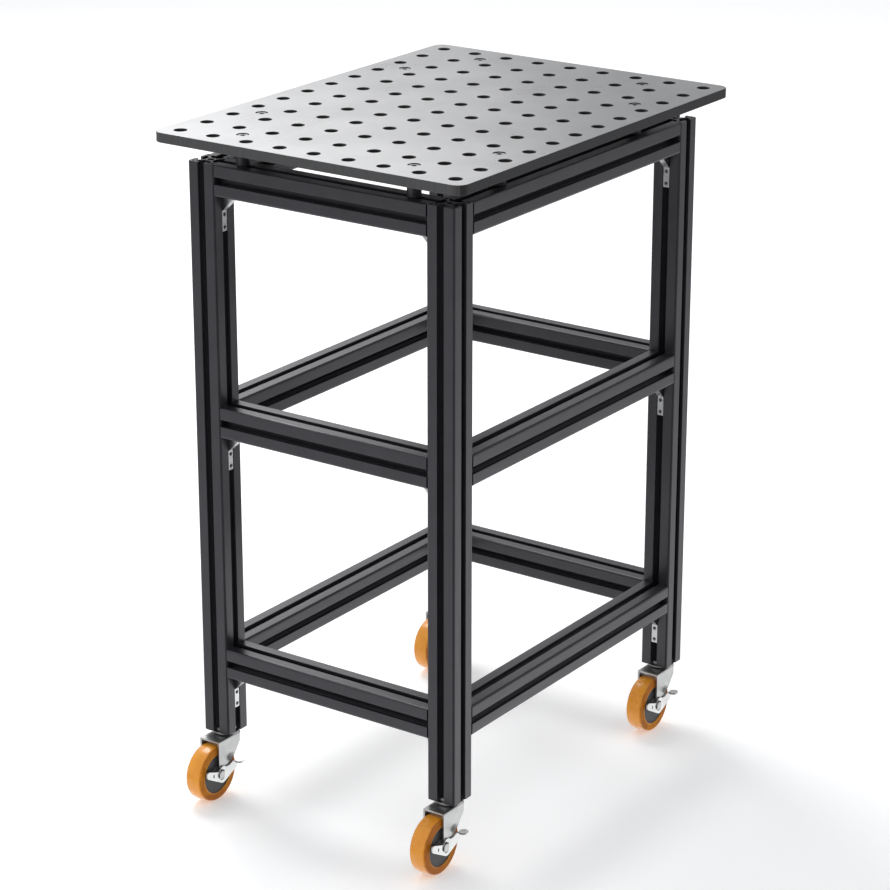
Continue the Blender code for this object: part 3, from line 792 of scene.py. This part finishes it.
def profile_loops():
    """Outline, core bore and corner hollows of the profile."""
    corner = PROFILE_HALF - PROFILE_CORNER
    mouth = SLOT_MOUTH / 2
    round_centre = (mouth + MOUTH_ROUND, PROFILE_HALF - MOUTH_ROUND)
    half_slot = arc(round_centre, MOUTH_ROUND, 90, 180, MOUTH_STEPS)
    half_slot += [
        (mouth, PROFILE_HALF - LIP_THICKNESS),
        (CAVITY_HALF, PROFILE_HALF - LIP_THICKNESS),
        (CAVITY_HALF, CORE_HALF + CAVITY_HALF - SLOT_FLOOR / 2),
        (SLOT_FLOOR / 2, CORE_HALF),
    ]
    side = arc((corner, corner), PROFILE_CORNER, 0, 90, PROFILE_CORNER_STEPS) + half_slot
    side += [(-x, y) for x, y in reversed(half_slot)]
    outline = []
    loops = [circle((0, 0), CORE_BORE, BORE_SIDES)]
    for quarter in range(4):
        turn = Matrix.Rotation(quarter * math.pi / 2, 2)
        outline += [tuple(turn @ Vector(point)) for point in side]
        hollow = turn @ Vector((HOLLOW_PLACE, HOLLOW_PLACE))
        loops.append(circle(hollow, HOLLOW_RADIUS, HOLLOW_SIDES))
    return [outline, *loops]


def section_mesh():
    """The section's outlines as rings of edges."""
    shape = bmesh.new()
    loop_edges(shape, profile_loops())
    return mesh_from(shape, "profile_section")


# %% Profile tree
WELD_DISTANCE = 1e-5


def profile_tree():
    """Fills a section, draws it out along Z about its middle, then turns it to the bar's direction."""
    inputs = {"Length": "Float", "Turn": "Vector", "Finish": "Material"}
    tree, inlet, outlet = new_tree("drawn_profile", inputs)
    length = inlet.outputs["Length"]
    curve = add_node(tree, "GeometryNodeMeshToCurve", {"Mesh": inlet.outputs["Geometry"]})
    fill = add_node(tree, "GeometryNodeFillCurve", {"Curve": curve.outputs["Curve"]}).outputs["Mesh"]
    draw = add_node(tree, "GeometryNodeExtrudeMesh", {
        "Mesh": fill, "Offset": (0, 0, 1), "Offset Scale": length, "Individual": False})
    flip = add_node(tree, "GeometryNodeFlipFaces", {"Mesh": fill})
    joined = add_node(tree, "GeometryNodeJoinGeometry")
    for part in (draw, flip):
        tree.links.new(part.outputs["Mesh"], joined.inputs["Geometry"])
    weld = add_node(tree, "GeometryNodeMergeByDistance", {
        "Geometry": joined.outputs["Geometry"], "Distance": WELD_DISTANCE})
    drop = add_node(tree, "ShaderNodeCombineXYZ", {"Z": calculate(tree, "MULTIPLY", length, -0.5)})
    centre = add_node(tree, "GeometryNodeTransform", {
        "Geometry": weld.outputs["Geometry"], "Translation": drop.outputs["Vector"]})
    rotation = add_node(tree, "FunctionNodeEulerToRotation", {"Euler": inlet.outputs["Turn"]})
    turn = add_node(tree, "GeometryNodeTransform", {
        "Geometry": centre.outputs["Geometry"], "Rotation": rotation.outputs["Rotation"]})
    close_tree(tree, turn.outputs["Geometry"], inlet, outlet)
    return tree


# %% Posts and rails
BAR_TURNS = [(0, math.pi / 2, 0), (math.pi / 2, 0, 0), (0, 0, 0)]
DRAWN_PROFILE = profile_tree()


def bar_box(node):
    """Box of a bar without the spacers that stand on the top rails."""
    low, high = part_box(node)
    if node.startswith("rail_top"):
        high.z = rail_top
    return low, high


def bar(node):
    """A length of profile in the place of a post or rail."""
    low, high = bar_box(node)
    size = high - low
    axis = max(range(3), key=lambda index: size[index])
    values = {"Length": size[axis], "Turn": BAR_TURNS[axis], "Finish": PROFILE_FINISH[axis]}
    mesh = grown(DRAWN_PROFILE, section_mesh(), values)
    mesh.transform(Matrix.Translation((low + high) / 2))
    piece(f"{node}_bar", mesh, None, "frame", [node])
    return len(mesh.polygons)


BAR_NODES = [f"post_{corner}" for corner in CORNERS]
BAR_NODES += [f"rail_{level}_{side}" for level in LEVELS for side in SIDES]
print("bars:", len(BAR_NODES), "with", sum(bar(node) for node in BAR_NODES), "faces")

# %% [markdown]
# ## Corner brackets
#
# Under each rail end an angle of zinc-plated steel hides in the slots: one leg in the post, one in the
# rail, a web across the corner, and two set screws in each leg that jack it against the lips. One
# bracket is modelled with its screw holes, and the tree puts it under all twenty-four rail ends.

# %% Bracket shape
BRACKET_LEG = 1.875 * INCH
BRACKET_WEB = 0.022
BRACKET_HALF = SLOT_MOUTH / 2 - PLAY
BRACKET_DEPTH = 0.0073
BRACKET_RECESS = 0.0009
BRACKET_EDGE = 0.0004
TAP_RADIUS = 0.0028
TAP_DEPTH = 0.004
TAP_ABOVE = 0.002
SET_SCREW_PLACES = (0.0265, 0.0424)
SET_SCREW_RADIUS = 0.0027
SET_SCREW_LENGTH = 0.003
SET_SCREW_HEX = 0.0019
SET_SCREW_HEX_DEPTH = 0.002
SET_SCREW_SINK = BRACKET_RECESS + 0.0006
SET_SCREW_SIDES = 20


def screw_seats(sink):
    """Where the set screws sit, two in the rail's leg and two in the post's, sunk below the faces."""
    seats = []
    for place in SET_SCREW_PLACES:
        seats.append(Matrix.Translation((place, 0, sink)) @ Matrix.Rotation(math.pi, 4, "Y"))
        seats.append(Matrix.Translation((-sink, 0, -place)) @ Matrix.Rotation(math.pi / 2, 4, "Y"))
    return seats


def bracket():
    """The bracket with the post's face at x = 0 and the rail's underside at z = 0."""
    face = BRACKET_RECESS
    outline = [(0, 0), (0, BRACKET_DEPTH), (BRACKET_LEG, BRACKET_DEPTH), (BRACKET_LEG, face),
               (BRACKET_WEB, face), (-face, -BRACKET_WEB), (-face, -BRACKET_LEG),
               (-BRACKET_DEPTH, -BRACKET_LEG), (-BRACKET_DEPTH, 0)]
    mesh = prism("bracket", outline, -BRACKET_HALF, BRACKET_HALF, turn=ALONG_Y)
    mesh = soften(mesh, BRACKET_EDGE)
    for seat in screw_seats(0):
        ring = circle((0, 0), TAP_RADIUS, SET_SCREW_SIDES)
        mesh = combine(mesh, prism("hole", ring, -TAP_DEPTH, TAP_ABOVE, turn=seat), "DIFFERENCE")
    return mesh


def set_screw():
    """A socket set screw with its face at z = 0."""
    ring = circle((0, 0), SET_SCREW_RADIUS, SET_SCREW_SIDES)
    body = prism("set_screw", ring, -SET_SCREW_LENGTH, 0)
    socket = prism("socket", circle((0, 0), SET_SCREW_HEX, 6), -SET_SCREW_HEX_DEPTH, OVERSHOOT)
    return combine(body, socket, "DIFFERENCE")


def set_screw_group():
    """The four set screws of one bracket as one mesh."""
    shape = bmesh.new()
    for seat in screw_seats(SET_SCREW_SINK):
        screw = set_screw()
        screw.transform(seat)
        shape.from_mesh(screw)
    return mesh_from(shape, "set_screws")


# %% Brackets in place
def bracket_seats():
    """Corner point and turn of every bracket, with the node that it stands for."""
    places, turns, nodes = [], [], []
    for level in LEVELS:
        for side in SIDES:
            low, high = bar_box(f"rail_{level}_{side}")
            middle = (low + high) / 2
            if side in ("front", "rear"):
                ends = {"left": (low.x, middle.y, 0), "right": (high.x, middle.y, math.pi)}
            else:
                ends = {"front": (middle.x, low.y, math.pi / 2),
                        "rear": (middle.x, high.y, -math.pi / 2)}
            for end, (x, y, turn) in ends.items():
                places.append((x, y, low.z))
                turns.append(turn)
                nodes.append(f"bracket_{level}_{side}_{end}")
    return places, turns, nodes


places, turns, bracket_nodes = bracket_seats()
brackets = on_points("corner_brackets", bracket(), places, turns, BRACKET_FINISH)
piece("corner_brackets", brackets, None, "frame", bracket_nodes)
set_screws = on_points("bracket_set_screws", set_screw_group(), places, turns, SCREW_FINISH)
piece("bracket_set_screws", set_screws, None, "frame")

# %% [markdown]
# ## Caster wheels
#
# A caster wheel is two mouldings: a grey core with its hub and a cast orange tread round it. Both are
# turned shapes, so a section spun about the axle makes them. The tread is crowned a little and its
# shoulders are round, and a thin lip stands where it meets the core.
# Its flanks are painted darker as shade, and the lip a little less.

# %% Wheel
WHEEL_RADIUS = 1.5 * INCH
WHEEL_HALF = 0.012
CROWN_RISE = 0.0004
SHOULDER = 0.0034
SHOULDER_STEPS = 8
CORE_RADIUS = 0.0264
CORE_RECESS = 0.0012
HUB_RADIUS = 0.010
HUB_HALF = 0.0127
AXLE_RADIUS = 0.004
WHEEL_SIDES = 96
FLANK_SLOPE = 0.85
# Painted shade on the flanks: its strength, where it eases in, and its weaker strength on the lip
FLANK_PAINTED_SHADE = 0.45
FLANK_START = WHEEL_HALF - SHOULDER
FLANK_END = WHEEL_HALF - SHOULDER / 6
LIP_PAINTED_SHADE = 0.25
LIP_WIDTH = 0.0012
LIP_FOOT = 0.0016
# How far out from the core the lip's lighter painted shade reaches
LIP_SHADE_WIDTH = 1.1 * LIP_WIDTH
LIP_RISE = 0.0003
CROWN_FLAT = 0.0002
CORE_GAP = 0.0001
HUB_CHAMFER = 0.0006
WEB_DISH = 0.0006
RIM_WIDTH = 0.002
RIM_FOOT = 0.003


def ease(value, start, end):
    """A smooth step from 0 to 1 between two values."""
    share = min(max((value - start) / (end - start), 0), 1)
    return share * share * (3 - 2 * share)


def mirrored(half):
    """A section closed by its mirror image across the wheel's middle plane."""
    return half + [(radius, -height) for radius, height in reversed(half)]


def tread():
    """The tread about the axle, which lies along Y."""
    shoulder_centre = (WHEEL_RADIUS - CROWN_RISE - SHOULDER, WHEEL_HALF - SHOULDER)
    flank = WHEEL_HALF - LIP_RISE
    half = [(CORE_RADIUS, WHEEL_HALF - 2 * CORE_RECESS), (CORE_RADIUS, flank),
            (CORE_RADIUS + LIP_RISE, WHEEL_HALF), (CORE_RADIUS + LIP_WIDTH, WHEEL_HALF),
            (CORE_RADIUS + LIP_FOOT, flank)]
    half += arc(shoulder_centre, SHOULDER - LIP_RISE, 90, 0, SHOULDER_STEPS)
    half += [(WHEEL_RADIUS - CROWN_RISE / 4, SHOULDER), (WHEEL_RADIUS, CROWN_FLAT)]
    mesh = turned("tread", mirrored(half), WHEEL_SIDES, ring=True, turn=ALONG_Y)
    # Each point keeps its share of painted shade: most on the flanks, less on the lip, none on the
    # running face
    layer = mesh.attributes.new("flank", "FLOAT", "POINT")
    for point, depth in zip(mesh.vertices, layer.data):
        on_lip = math.hypot(point.co.x, point.co.z) < CORE_RADIUS + LIP_SHADE_WIDTH
        share = ease(abs(point.co.y), FLANK_START, FLANK_END)
        depth.value = share * (LIP_PAINTED_SHADE if on_lip else FLANK_PAINTED_SHADE)
    return mesh


def core():
    """The moulded core: rim, dished web and hub."""
    face = WHEEL_HALF - CORE_RECESS
    web = face - WEB_DISH
    rim = CORE_RADIUS - CORE_GAP
    half = [(AXLE_RADIUS + PLAY, HUB_HALF), (HUB_RADIUS - HUB_CHAMFER, HUB_HALF),
            (HUB_RADIUS, HUB_HALF - HUB_CHAMFER), (HUB_RADIUS + HUB_CHAMFER, web),
            (rim - RIM_FOOT, web), (rim - RIM_WIDTH, face), (rim, face)]
    return turned("core", mirrored(half), WHEEL_SIDES, ring=True, turn=ALONG_Y)


def finish_tread(mesh):
    """The running face is glossy and the moulded flanks matt; the flanks' darker colour is painted
    shade.
    """
    running, flank = range(2)
    for face in mesh.polygons:
        face.material_index = flank if abs(face.normal.y) > FLANK_SLOPE else running


JOINT_PLACE = {joint["name"]: Vector(joint["pos_m"]) for joint in frame["joints"]}
tread_mesh, core_mesh = tread(), core()
for corner in CORNERS:
    axle = JOINT_PLACE[f"wheel_roll_{corner}"]
    body = f"wheel_{corner}"
    wheel = piece(f"tread_{corner}", moved(tread_mesh, axle), [TREAD_FINISH, FLANK_FINISH], body,
                  [f"caster_{corner}_wheel"])
    finish_tread(wheel.data)
    piece(f"core_{corner}", moved(core_mesh, axle), [CORE_FINISH], body)
print("wheels:", len(tread_mesh.polygons), "faces a tread")

# %% [markdown]
# ## Caster forks
#
# The fork is one pressing: a channel bent from sheet, raised under its raceway and trimmed to a
# tapering leg. A grid bent into a channel can be pushed up round the swivel axis just as the press does
# it, and two prisms then trim it in side view and in plan. The axle is a rivet through both legs.

# %% Fork sizes
TRAIL = 0.034
SHEET = 0.0025
FORK_INNER = 0.013
FORK_OUTER = FORK_INNER + SHEET
BEND_RADIUS = 0.003
OUTER_BEND = 0.0015
CROWN_TOP = 0.0461
CROWN_ROUND = 0.0177
CROWN_DROP = 0.0008
RACEWAY_INNER = 0.0125
RACEWAY_OUTER = 0.0165
LEG_FRONT = 0.001
LEG_SHOULDER_DROP = 0.0131
KNEE = (0.030, 0.017)
BOSS_RADIUS = 0.007
DIMPLE_PLACE = (-0.011, 0.0185)
DIMPLE_RADIUS = 0.009
DIMPLE_DEPTH = 0.0009
KINGPIN_RADIUS = 0.005
KINGPIN_SIDES = 32
LEG_STEPS, BEND_STEPS, CROWN_STEPS = 30, 6, 10
CHANNEL_STEPS = 44
TRIM_STEPS = 24


def channel_half(half_width, bend, top):
    """One side of the channel's section, from the foot of the leg to the crown's middle."""
    foot = -BOSS_RADIUS - SHEET
    centre = (half_width - bend, top - bend)
    leg = [(half_width, foot + (centre[1] - foot) * step / LEG_STEPS) for step in range(LEG_STEPS)]
    crown = [(centre[0] * (1 - step / CROWN_STEPS), top) for step in range(1, CROWN_STEPS + 1)]
    return leg + arc(centre, bend, 0, 90, BEND_STEPS) + crown


def channel_side(half_width, bend, top):
    """The whole section of one skin of the sheet, as (y, z) points."""
    half = channel_half(half_width, bend, top)
    return half + [(-y, z) for y, z in reversed(half[:-1])]


def pressed(x, y, z):
    """Where the press moves a point: the crown drops outside the raceway, and the legs are dimpled."""
    drop = CROWN_DROP * ease(math.hypot(x, y), RACEWAY_INNER, RACEWAY_OUTER)
    away = math.hypot(x - DIMPLE_PLACE[0], z - DIMPLE_PLACE[1])
    dent = DIMPLE_DEPTH * (1 - ease(away, 0, DIMPLE_RADIUS))
    side = math.copysign(ease(abs(y), FORK_INNER - BEND_RADIUS, FORK_INNER), y)
    return (x, y - side * dent, z - drop)


def bridge(shape, row, following):
    """Faces between two rows of points."""
    for index in range(len(row) - 1):
        shape.faces.new((row[index], row[index + 1], following[index + 1], following[index]))


def fork_channel():
    """The pressed channel before trimming, as a closed sheet of even thickness."""
    front, back = -TRAIL - 2 * BOSS_RADIUS, CROWN_ROUND + SHEET
    shape = bmesh.new()
    skins = []
    for skin in (channel_side(FORK_OUTER, OUTER_BEND, CROWN_TOP),
                 channel_side(FORK_INNER, BEND_RADIUS - SHEET, CROWN_TOP - SHEET)):
        rows = []
        for step in range(CHANNEL_STEPS + 1):
            x = front + (back - front) * step / CHANNEL_STEPS
            rows.append([shape.verts.new(pressed(x, y, z)) for y, z in skin])
        for row, following in zip(rows, rows[1:]):
            bridge(shape, row, following)
        skins.append(rows)
    outer, inner = skins
    for foot in (0, -1):
        bridge(shape, [row[foot] for row in outer], [row[foot] for row in inner])
        bridge(shape, outer[foot], inner[foot])
    return mesh_from(shape, "fork")


# %% Fork trimming
def fork_side_view():
    """Outline of the fork seen along the axle, as a tool for trimming."""
    leg_back = math.sqrt(CROWN_ROUND**2 - FORK_OUTER**2)
    knee = (KNEE[0] - TRAIL, KNEE[1])
    slant = math.degrees(math.atan2(KNEE[1], KNEE[0]) - math.acos(BOSS_RADIUS / math.hypot(*KNEE)))
    front_angle = math.degrees(math.acos(-LEG_FRONT / BOSS_RADIUS))
    above, beyond = CROWN_TOP + SHEET, CROWN_ROUND + 2 * SHEET
    under = CROWN_TOP - BEND_RADIUS
    outline = [(-TRAIL - LEG_FRONT, above), (beyond, above), (beyond, under), (leg_back, under)]
    outline += [(leg_back, CROWN_TOP - LEG_SHOULDER_DROP), knee]
    outline += reversed(arc((-TRAIL, 0), BOSS_RADIUS, front_angle - 360, slant, TRIM_STEPS))
    return prism("side_view", outline, -FORK_OUTER - SHEET, FORK_OUTER + SHEET, turn=ALONG_Y)


def fork_plan():
    """Outline of the fork seen from above: straight sides and a round about the swivel axis."""
    half_angle = math.degrees(math.asin(FORK_OUTER / CROWN_ROUND))
    front, reach = -TRAIL - 3 * BOSS_RADIUS, FORK_OUTER + SHEET
    outline = [(front, reach), (front, -reach), (0, -reach)]
    outline += arc((0, 0), CROWN_ROUND, -half_angle, half_angle, TRIM_STEPS)
    outline += [(0, reach)]
    return prism("plan", outline, -3 * BOSS_RADIUS, CROWN_TOP + 2 * SHEET)


def fork():
    """The trimmed fork about its swivel axis, the axle's height at z = 0."""
    mesh = combine(fork_channel(), fork_side_view(), "INTERSECT")
    mesh = combine(mesh, fork_plan(), "INTERSECT")
    ring = circle((0, 0), KINGPIN_RADIUS + PLAY, KINGPIN_SIDES)
    return combine(mesh, prism("pin_hole", ring, 0, 2 * CROWN_TOP), "DIFFERENCE")


# %% Axle
LEVER_SHEET = 0.002
LEVER_INSIDE = FORK_OUTER + PLAY
RIVET_SEAT = LEVER_INSIDE + LEVER_SHEET + PLAY
RIVET_RADIUS = 0.0057
RIVET_FAR_RADIUS = 0.0065
RIVET_HEIGHT = 0.0014
RIVET_FAR_HEIGHT = 0.003
RIVET_CHAMFER = 0.0006
RIVET_SIDES = 48
# Dark arcs that paint the shadow round the near rivet head: radii, height, angles and steps
SHADOW_ARC_INNER, SHADOW_ARC_OUTER = 0.0060, 0.0073
SHADOW_ARC_HEIGHT = 0.0005
SHADOW_ARC_ANGLES = ((35, 95), (265, 320))
SHADOW_ARC_STEPS = 8
AT_AXLE = Matrix.Translation((-TRAIL, 0, 0)) @ ALONG_Y


def rivet_head(low, radius, height):
    """Half the section of a flat head that stands on z = low, from its rim to the axis."""
    top = low + height
    return [(radius, low), (radius, top - RIVET_CHAMFER), (radius - RIVET_CHAMFER, top), (0, top)]


def axle_rivet():
    """Rivet along Y through the fork, with a flat head at each end; the near one holds the lever."""
    near = rivet_head(RIVET_SEAT, RIVET_RADIUS, RIVET_HEIGHT)
    far = rivet_head(FORK_OUTER, RIVET_FAR_RADIUS, RIVET_FAR_HEIGHT)
    profile = [(radius, -height) for radius, height in reversed(far)]
    profile += [(AXLE_RADIUS, -FORK_OUTER), (AXLE_RADIUS, RIVET_SEAT)]
    profile += near
    return turned("axle_rivet", profile, RIVET_SIDES, turn=AT_AXLE)


def spring_ends():
    """Two dark arcs above and below the rivet's head, standing on the lever: a painted shadow."""
    shape = bmesh.new()
    for start, end in SHADOW_ARC_ANGLES:
        outline = arc((0, 0), SHADOW_ARC_OUTER, start, end, SHADOW_ARC_STEPS)
        outline += arc((0, 0), SHADOW_ARC_INNER, end, start, SHADOW_ARC_STEPS)
        shape.from_mesh(prism("spring_end", outline, RIVET_SEAT, RIVET_SEAT + SHADOW_ARC_HEIGHT))
    return mesh_from(shape, "spring_ends", AT_AXLE)


# The third mesh is the dark arcs painted as shadow round each rivet's head
fork_mesh, rivet_mesh, shadow_arc_mesh = fork(), axle_rivet(), spring_ends()
for corner in CORNERS:
    swivel = JOINT_PLACE[f"swivel_turn_{corner}"]
    body = f"swivel_{corner}"
    piece(f"fork_{corner}", moved(fork_mesh, swivel), [ZINC_FINISH], body,
          [f"caster_{corner}_fork"])
    piece(f"axle_rivet_{corner}", moved(rivet_mesh, swivel), [ZINC_FINISH], body)
    piece(f"spring_ends_{corner}", moved(shadow_arc_mesh, swivel), [CORE_FINISH], body)
print("forks:", len(fork_mesh.polygons), "faces each")

# %% [markdown]
# ## Caster mounts
#
# Each caster plugs into the open foot of its post: a stem in the bore, four lugs in the slots and a
# raceway cup under the post that widens downwards over the balls. The kingpin is riveted below the
# fork's crown. Everything but the lugs is turned.

# %% Caster mount
CUP_RADIUS = 0.01775
CUP_NECK = 0.015
CUP_HEIGHT = 0.0041
CUP_ROUND = 0.0007
CUP_STEPS, HEAD_STEPS = 3, 5
RACE_RADIUS = 0.0155
RACE_GAP = 0.0009
STEM_LENGTH = 0.025
STEM_RADIUS = 0.0036
HEAD_RADIUS = 0.008
HEAD_HEIGHT = 0.0025
MOUNT_SIDES = 64
LUG_OUT = 0.0135
LUG_LENGTH = 0.005
LUG_HEIGHT = 0.0035
LUG_EDGE = 0.0005


def mount():
    """The mount about the post's axis, the post's foot at z = 0."""
    top = -PLAY
    foot = top - CUP_HEIGHT
    head = foot - SHEET - 2 * PLAY
    rim = foot + RACE_GAP
    profile = [(0, STEM_LENGTH), (STEM_RADIUS - CUP_ROUND, STEM_LENGTH),
               (STEM_RADIUS, STEM_LENGTH - CUP_ROUND), (STEM_RADIUS, top), (CUP_NECK, top)]
    profile += arc((CUP_RADIUS - CUP_ROUND, top - CUP_HEIGHT / 2), CUP_ROUND, 45, 0, CUP_STEPS)
    profile += [(CUP_RADIUS, rim), (RACE_RADIUS, rim), (RACE_RADIUS, foot)]
    profile += [(KINGPIN_RADIUS, foot), (KINGPIN_RADIUS, head), (HEAD_RADIUS, head)]
    profile += arc((HEAD_RADIUS - HEAD_HEIGHT, head), HEAD_HEIGHT, 0, -90, HEAD_STEPS)[1:]
    profile += [(0, head - HEAD_HEIGHT)]
    mesh = turned("mount", profile, MOUNT_SIDES)
    half = SLOT_MOUTH / 2 - PLAY
    inside = LUG_OUT - LUG_LENGTH
    outline = [(inside, -half), (LUG_OUT, -half), (LUG_OUT, half), (inside, half)]
    lug = soften(prism("lug", outline, top - CUP_HEIGHT / 4, LUG_HEIGHT), LUG_EDGE)
    for quarter in range(4):
        mesh = combine(mesh, moved(lug, (0, 0, 0), quarter * math.pi / 2), "UNION")
    return mesh


mount_mesh = mount()
post_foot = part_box("post_front_left")[0].z
for corner in CORNERS:
    swivel = JOINT_PLACE[f"swivel_turn_{corner}"]
    foot_place = (swivel.x, swivel.y, post_foot)
    piece(f"mount_{corner}", moved(mount_mesh, foot_place), [ZINC_FINISH], "frame",
          [f"caster_{corner}_mount"])
print("mounts:", len(mount_mesh.polygons), "faces each")

# %% [markdown]
# ## Brake levers
#
# The lever is a pressing that turns on the axle: a slit pad to the front, an eye round the axle, and an
# arm that rises to the rear and ends in an oval pedal bent outwards. Its outline is ten corners in side
# view, each with the radius of its round, raised to the sheet's thickness, and the pedal is an oval of
# the same sheet.

# %% Brake lever
# Corners of the outline: place in side view, from the axle, and radius of the round
LEVER_CORNERS = [
    (-0.0286, 0.0141, 0.0036),
    (-0.0286, 0.0044, 0.0036),
    (0.0029, -0.0132, 0.0075),
    (0.0330, 0.0002, 0.006),
    (0.0330, 0.0090, 0.0003),
    (0.0225, 0.0098, 0.003),
    (0.0180, 0.0075, 0.003),
    (0.0110, 0.0075, 0.0015),
    (0.0035, 0.0122, 0.007),
    (-0.0052, 0.0055, 0.0015),
]
SLIT_LOW, SLIT_HIGH = (-0.0164, 0.0010), (-0.0142, 0.0056)
ROUND_STEPS = 5
ARM_REACH = 0.033
ARM_TOP = 0.009
PEDAL_LENGTH = 0.013
PEDAL_WIDTH = 0.012
PEDAL_SIDES = 40
EYE_SIDES = 24
LEVER_EDGE = 0.0004


def rounded(corners):
    """An outline whose corners, given as (x, y, radius), are rounded by arcs."""
    outline = []
    befores, afters = corners[-1:] + corners[:-1], corners[1:] + corners[:1]
    for before, (x, y, radius), after in zip(befores, corners, afters):
        point = Vector((x, y))
        back = (Vector(before[:2]) - point).normalized()
        ahead = (Vector(after[:2]) - point).normalized()
        half = back.angle(ahead) / 2
        centre = point + (back + ahead).normalized() * radius / math.sin(half)
        first = point + back * radius / math.tan(half) - centre
        last = point + ahead * radius / math.tan(half) - centre
        start = math.degrees(math.atan2(first.y, first.x))
        sweep = math.degrees(first.angle_signed(last))
        outline += arc(centre, radius, start, start - sweep, ROUND_STEPS)
    return outline


def brake_lever():
    """The lever about the axle, which lies along Y."""
    eye = circle((0, 0), AXLE_RADIUS + PLAY, EYE_SIDES)
    slit = [SLIT_LOW, (SLIT_HIGH[0], SLIT_LOW[1]), SLIT_HIGH, (SLIT_LOW[0], SLIT_HIGH[1])]
    outline, outside = rounded(LEVER_CORNERS), LEVER_INSIDE + LEVER_SHEET
    mesh = prism("brake_lever", outline, LEVER_INSIDE, outside, [eye, slit], turn=ALONG_Y)
    centre = (ARM_REACH, -LEVER_INSIDE - PEDAL_WIDTH / 2)
    oval = []
    for x, y in circle((0, 0), 1, PEDAL_SIDES):
        oval.append((centre[0] + x * PEDAL_LENGTH / 2, centre[1] + y * PEDAL_WIDTH / 2))
    pedal = prism("pedal", oval, ARM_TOP - LEVER_SHEET / 2, ARM_TOP + LEVER_SHEET / 2)
    return soften(combine(mesh, pedal, "UNION"), LEVER_EDGE)


lever_mesh = brake_lever()
for corner in CORNERS:
    axle = JOINT_PLACE[f"brake_press_{corner}"]
    piece(f"brake_lever_{corner}", moved(lever_mesh, axle), [LEVER_FINISH], f"brake_{corner}",
          [f"caster_{corner}_brake_lever"])
print("levers:", len(lever_mesh.polygons), "faces each")
